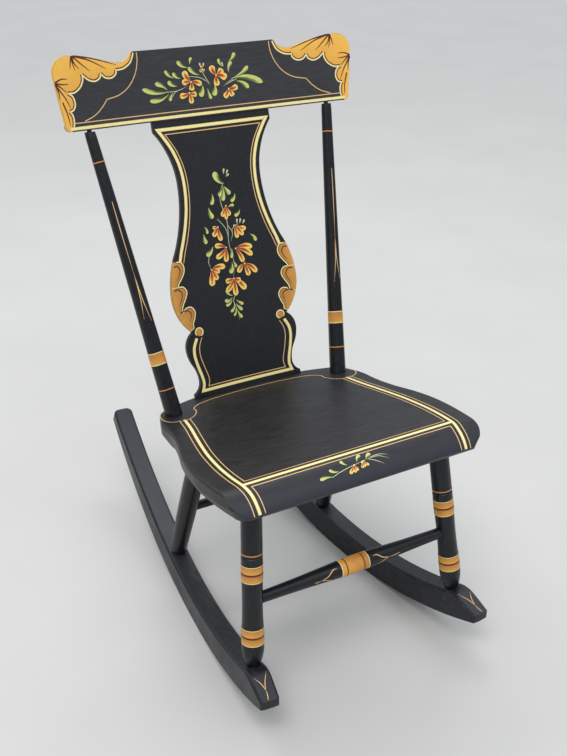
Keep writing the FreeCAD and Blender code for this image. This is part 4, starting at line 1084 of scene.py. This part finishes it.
class ROCKER_OT_sprays(bpy.types.Operator):
    """Paints the sprays of flowers on the crest rail, the splat and the seat's front roll"""
    bl_idname = "rocker.sprays"
    bl_label = "Paint the flower sprays"

    def execute(self, context):
        lift = settings(context)[1].lift / MM
        paint_spray("crest_spray", crest_face, "back_paint", CREST_FLOWERS, CREST_LEAVES, CREST_STEMS,
                    CREST_BUDS, lift)
        paint_spray("splat_spray", splat_face, "back_paint", SPLAT_FLOWERS, SPLAT_LEAVES, SPLAT_STEMS,
                    SPLAT_BUDS, lift)
        paint_spray("roll_spray", seat_face, "seat_paint", ROLL_FLOWERS, ROLL_LEAVES, ROLL_STEMS, (), lift)
        return {"FINISHED"}


# Bands, rings and forks on the turnings, by height above the foot of the turning's axis
STILE_RING_HEIGHTS = (394.0, 42.0)
STILE_RING_WIDTH = 1.6
STILE_RIM_WIDTH = 1.3
WISHBONE_WIDTH = 1.4
STILE_BAND_HEIGHT = 91.7
STILE_BAND_WIDTH = 18.5
STILE_WISHBONE = (((0.0, 335.0), (0.4, 285.0), (0.0, 222.0)), ((0.0, 222.0), (-1.4, 185.0), (-5.4, 150.0)),
                  ((0.0, 222.0), (1.2, 190.0), (5.0, 156.0)))
LEG_BANDS = (50.0, 147.2)
LEG_BAND_WIDTH = 25.0
LEG_BAND_GAP = 2.8
LEG_MIDDLE_WIDTH = 2.0
LEG_RIM_INSET = 0.4
LEG_RIM_WIDTH = 0.9
LEG_LINE_HEIGHT = 176.6
LEG_LINE_WIDTH = 1.7
RAIL_BAND_AT = 164.6
RAIL_BAND_WIDTH = 46.5
RAIL_LINE_OFF = 14.5
RAIL_LINE_WIDTH = 1.8
RAIL_RIM_WIDTH = 1.2
FORK_WIDTH = 1.3
TURNED_LIFT = 0.14
TURNED_LINE_COAT = 0.02
TURNED_DARK_COAT = 0.08
TURNED_PALE_COAT = 0.05
LEG_MIDDLE_SINK = -0.02
RAIL_FORKS = (((0.0, 79.0), (0.6, 68.0), (0.0, 57.0)), ((0.0, 57.0), (3.4, 47.0), (9.0, 38.0), (9.5, 31.0)),
              ((0.0, 57.0), (-3.4, 47.0), (-9.0, 38.0), (-9.5, 31.0)))


class ROCKER_OT_turned_bands(bpy.types.Operator):
    """Puts the gold bands, rings and wishbone lines on the stiles, front legs and front stretcher"""
    bl_idname = "rocker.turned_bands"
    bl_label = "Band the turnings"

    def execute(self, context):
        lift = TURNED_LIFT
        gold = Painting("turned_gold_bands", "amber_gold_band", "turned_paint", lift)
        fine = Painting("turned_fine_lines", "pinstripe_orange", "turned_paint", lift + TURNED_LINE_COAT)
        dark = Painting("turned_dark_lines", "vein_brown", "turned_paint", lift + TURNED_DARK_COAT)
        peach = Painting("turned_forks", "pinstripe_peach", "turned_paint", lift)
        pale = Painting("turned_pale_lines", "leaf_rim", "turned_paint", lift + TURNED_PALE_COAT)
        stile = both(turned_round(STILE_FOOT, STILE_HEAD, STILE_RADII, STILE_FLAT))
        stile_front = both(turned_front(STILE_FOOT, STILE_HEAD, STILE_RADII, STILE_FLAT))
        leg = both(turned_round(FRONT_LEG_FOOT, FRONT_LEG_TOP, FRONT_LEG_RADII))
        rail = (turned_round(STRETCHER_LEFT, STRETCHER_RIGHT, STRETCHER_RADII),)
        rail_front = (turned_front(STRETCHER_LEFT, STRETCHER_RIGHT, STRETCHER_RADII),)
        for height in STILE_RING_HEIGHTS:
            fine.add(stile, ring_plan(height, STILE_RING_WIDTH))
        gold.add(stile, ring_plan(STILE_BAND_HEIGHT, STILE_BAND_WIDTH))
        for side in (-1, 1):
            pale.add(stile, ring_plan(STILE_BAND_HEIGHT + side * STILE_BAND_WIDTH / 2, STILE_RIM_WIDTH))
        for points in STILE_WISHBONE:
            peach.add(stile_front, brush_stroke(points, WISHBONE_WIDTH))
        single = (LEG_BAND_WIDTH - LEG_BAND_GAP) / 2
        for height in LEG_BANDS:
            dark.add(leg, ring_plan(height, LEG_MIDDLE_WIDTH), LEG_MIDDLE_SINK)
            for side in (-1, 1):
                middle = height + side * (LEG_BAND_GAP + single) / 2
                gold.add(leg, ring_plan(middle, single))
                pale.add(leg, ring_plan(middle + side * (single / 2 - LEG_RIM_INSET), LEG_RIM_WIDTH))
        fine.add(leg, ring_plan(LEG_LINE_HEIGHT, LEG_LINE_WIDTH))
        gold.add(rail, ring_plan(RAIL_BAND_AT, RAIL_BAND_WIDTH))
        for side in (-1, 1):
            dark.add(rail, ring_plan(RAIL_BAND_AT + side * RAIL_LINE_OFF, RAIL_LINE_WIDTH))
            pale.add(rail, ring_plan(RAIL_BAND_AT + side * RAIL_BAND_WIDTH / 2, RAIL_RIM_WIDTH))
            for points in RAIL_FORKS:
                moved = [(s, RAIL_BAND_AT + side * t) for s, t in points]
                peach.add(rail_front, brush_stroke(moved, FORK_WIDTH))
        for painting in (gold, fine, dark, peach, pale):
            painting.finish()
        return {"FINISHED"}


NOSE_MARK = (((2.6, 2.2), (0.6, 10.0), (0.4, 16.6)), ((0.4, 16.6), (-3.4, 28.0), (-11.0, 42.0)),
             ((0.4, 16.6), (3.4, 27.0), (9.6, 37.0)))


class ROCKER_OT_nose_marks(bpy.types.Operator):
    """Draws the forked pinstripe on the nose of each rocker"""
    bl_idname = "rocker.nose_marks"
    bl_label = "Mark the rocker noses"

    def execute(self, context):
        lift = settings(context)[1].lift / MM
        mark = Painting("rocker_nose_marks", "pinstripe_peach", "rocker_paint", lift)
        for points in NOSE_MARK:
            mark.add(both(nose_face), brush_stroke(points, FORK_WIDTH))
        mark.finish()
        return {"FINISHED"}


class ROCKER_OT_paint_box(bpy.types.Operator):
    """Mixes the enamels that the lines, leaves and flowers are painted with"""
    bl_idname = "rocker.paint_box"
    bl_label = "Mix the enamels"

    def execute(self, context):
        paints = settings(context)[0]
        # Striping enamels: oil paint from a long brush, satin, with the black showing through at the edges
        line_paint("stripe_yellow", tuple(paints.yellow), srgb("B89A4A"), 0.42)
        line_paint("pinstripe_peach", tuple(paints.peach), srgb("8A6A30"), 0.45)
        line_paint("pinstripe_orange", srgb("D9903E"), srgb("8A5222"), 0.45)
        line_paint("leaf_rim", tuple(paints.rim), srgb("C8A860"), 0.42)
        line_paint("vein_brown", tuple(paints.vein), tuple(paints.vein), 0.45)
        line_paint("stem_cream", tuple(paints.stem), srgb("7C8458"), 0.45)
        # Gold coloured enamels: flat colour and no metal, warm and soft, deeper where the brush left more
        gold_leaf("amber_gold", tuple(paints.gold), tuple(paints.gold_deep))
        gold_leaf("amber_gold_band", srgb("DFA044"), srgb("A8672A"))
        gold_leaf("ochre_gold", srgb("D99E48"), srgb("A96C2C"))
        # Artist's enamels, two on one brush: dark at the root and bright along one rim of each stroke
        two_tone_stroke("petal_red", tuple(paints.petal_dark), tuple(paints.petal),
                        tuple(paints.petal_rim), 0.5)
        two_tone_stroke("leaf_green", tuple(paints.leaf_dark), tuple(paints.leaf),
                        tuple(paints.leaf_light), 0.15)
        return {"FINISHED"}


# The camera's place and axes in the frame, in metres
CAMERA_PLACE = (-0.6791, -1.25194, 1.1157)
CAMERA_RIGHT = (0.87001, -0.49292, 0.01068)
CAMERA_UP = (0.22253, 0.41192, 0.88363)
CAMERA_FORWARD = (0.43996, 0.76639, -0.46806)
FLOOR_REACH = 30.0
CEILING_LAMPS = (("ceiling_lamp_front", (-0.6, -1.6, 2.8), (2.8, 0.5)),
                 ("ceiling_lamp_back", (0.2, 1.5, 2.6), (3.0, 0.5)))
WINDOW_PLACE = (-1.5, -1.2, 4.0)
WINDOW_SPREAD = 35
WINDOW_STRENGTH = 0.75
LAMP_AIM = (0.0, 0.0, 0.3)


class ROCKER_OT_studio(bpy.types.Operator):
    """Sets the floor, the soft lamps and the camera"""
    bl_idname = "rocker.studio"
    bl_label = "Set the studio"

    def execute(self, context):
        studio = settings(context)[2]
        self.lay_floor(tuple(studio.floor))
        self.hang_lamps(studio.lamp)
        self.light_sky(context, studio.fill)
        self.place_camera(context, studio.lens)
        context.scene.view_settings.view_transform = "Standard"
        return {"FINISHED"}

    def lay_floor(self, colour):
        mesh = bpy.data.meshes.new("studio_floor")
        reach = FLOOR_REACH
        mesh.from_pydata([(-reach, -reach, 0), (reach, -reach, 0), (reach, reach, 0), (-reach, reach, 0)],
                         [], [(0, 1, 2, 3)])
        # Sealed pale floor: even and half matt, with faint large clouds
        material, tree = blank_material("plain_floor")
        place = add_node(tree, "ShaderNodeTexCoord").outputs["Object"]
        clouds = add_node(tree, "ShaderNodeTexNoise", {"Vector": place, "Scale": 3.0, "Detail": 4.0})
        tone = add_node(tree, "ShaderNodeMapRange", {"Value": clouds.outputs["Fac"], "From Min": 0.3,
                                                     "From Max": 0.7, "To Min": 0.0,
                                                     "To Max": 1.0}).outputs["Result"]
        pale = tuple(min(1.0, v * 1.05) for v in colour)
        tint = add_node(tree, "ShaderNodeMix", {0: tone, 6: rgba(colour), 7: rgba(pale)}, data_type="RGBA")
        shader = add_node(tree, "ShaderNodeBsdfPrincipled", {"Base Color": tint.outputs[2],
                                                             "Roughness": 0.55})
        close_material(tree, shader)
        mesh.materials.append(material)
        floor = bpy.data.objects.new("studio_floor", mesh)
        bpy.context.scene.collection.objects.link(floor)

    def hang_lamps(self, power):
        for name, place, size in CEILING_LAMPS:
            lamp = bpy.data.lights.new(name, "AREA")
            lamp.shape = "RECTANGLE"
            lamp.size, lamp.size_y = size
            lamp.energy = power
            self.hang(name, lamp, place)
        sun = bpy.data.lights.new("high_window", "SUN")
        sun.angle = math.radians(WINDOW_SPREAD)
        sun.energy = WINDOW_STRENGTH
        self.hang("high_window", sun, WINDOW_PLACE)

    def hang(self, name, lamp, place):
        """Puts a lamp at its place, turned to the chair's middle."""
        hung = bpy.data.objects.new(name, lamp)
        hung.location = place
        aim = Vector(LAMP_AIM) - Vector(place)
        hung.rotation_euler = aim.to_track_quat("-Z", "Y").to_euler()
        bpy.context.scene.collection.objects.link(hung)

    def light_sky(self, context, strength):
        world = bpy.data.worlds.new("studio_sky")
        context.scene.world = world
        world.use_nodes = True
        tree = world.node_tree
        place = add_node(tree, "ShaderNodeTexCoord").outputs["Generated"]
        height = add_node(tree, "ShaderNodeSeparateXYZ", {"Vector": place}).outputs["Z"]
        glow = add_node(tree, "ShaderNodeMapRange", {"Value": height, "From Min": 0.0, "From Max": 0.75,
                                                     "To Min": strength * 0.45,
                                                     "To Max": strength * 1.75}).outputs["Result"]
        sky = tree.nodes["Background"]
        sky.inputs["Color"].default_value = rgba(srgb("EEF2FA"))
        tree.links.new(glow, sky.inputs["Strength"])

    def place_camera(self, context, lens):
        camera = bpy.data.cameras.new("photo_camera")
        camera.sensor_fit = "VERTICAL"
        camera.sensor_height = 36.0
        camera.lens = lens
        camera.clip_start, camera.clip_end = 0.05, 80.0
        stand_at = bpy.data.objects.new("photo_camera", camera)
        axes = Matrix((CAMERA_RIGHT, CAMERA_UP, [-v for v in CAMERA_FORWARD])).transposed().to_4x4()
        stand_at.matrix_world = Matrix.Translation(CAMERA_PLACE) @ axes
        context.scene.collection.objects.link(stand_at)
        context.scene.camera = stand_at


STEPS = (ROCKER_OT_paint_box, ROCKER_OT_wood, ROCKER_OT_seat_stripes, ROCKER_OT_crest_gilding,
         ROCKER_OT_crest_lines, ROCKER_OT_splat_gilding, ROCKER_OT_splat_lines, ROCKER_OT_sprays,
         ROCKER_OT_turned_bands, ROCKER_OT_nose_marks, ROCKER_OT_studio)


class ROCKER_PT_panel(bpy.types.Panel):
    """Lists the colours, the line widths and the steps of the work"""
    bl_idname = "ROCKER_PT_panel"
    bl_label = "Rocking Chair"
    bl_space_type = "VIEW_3D"
    bl_region_type = "UI"
    bl_category = "Rocking Chair"

    def draw(self, context):
        for group in settings(context):
            for name in group.bl_rna.properties.keys():
                if name not in ("rna_type", "name"):
                    self.layout.prop(group, name)
        for step in STEPS:
            self.layout.operator(step.bl_idname)


GROUPS = (("chair_paints", ChairPaints), ("chair_striping", ChairStriping), ("chair_studio", ChairStudio))


def register():
    for name, group in GROUPS:
        bpy.utils.register_class(group)
        setattr(bpy.types.Scene, name, bpy.props.PointerProperty(type=group))
    for item in (*STEPS, ROCKER_PT_panel):
        bpy.utils.register_class(item)


def unregister():
    for item in (ROCKER_PT_panel, *reversed(STEPS)):
        bpy.utils.unregister_class(item)
    for name, group in reversed(GROUPS):
        delattr(bpy.types.Scene, name)
        bpy.utils.unregister_class(group)


def main():
    register()
    for step in STEPS:
        space, name = step.bl_idname.split(".")
        getattr(getattr(bpy.ops, space), name)()


if __name__ == "__main__":
    main()
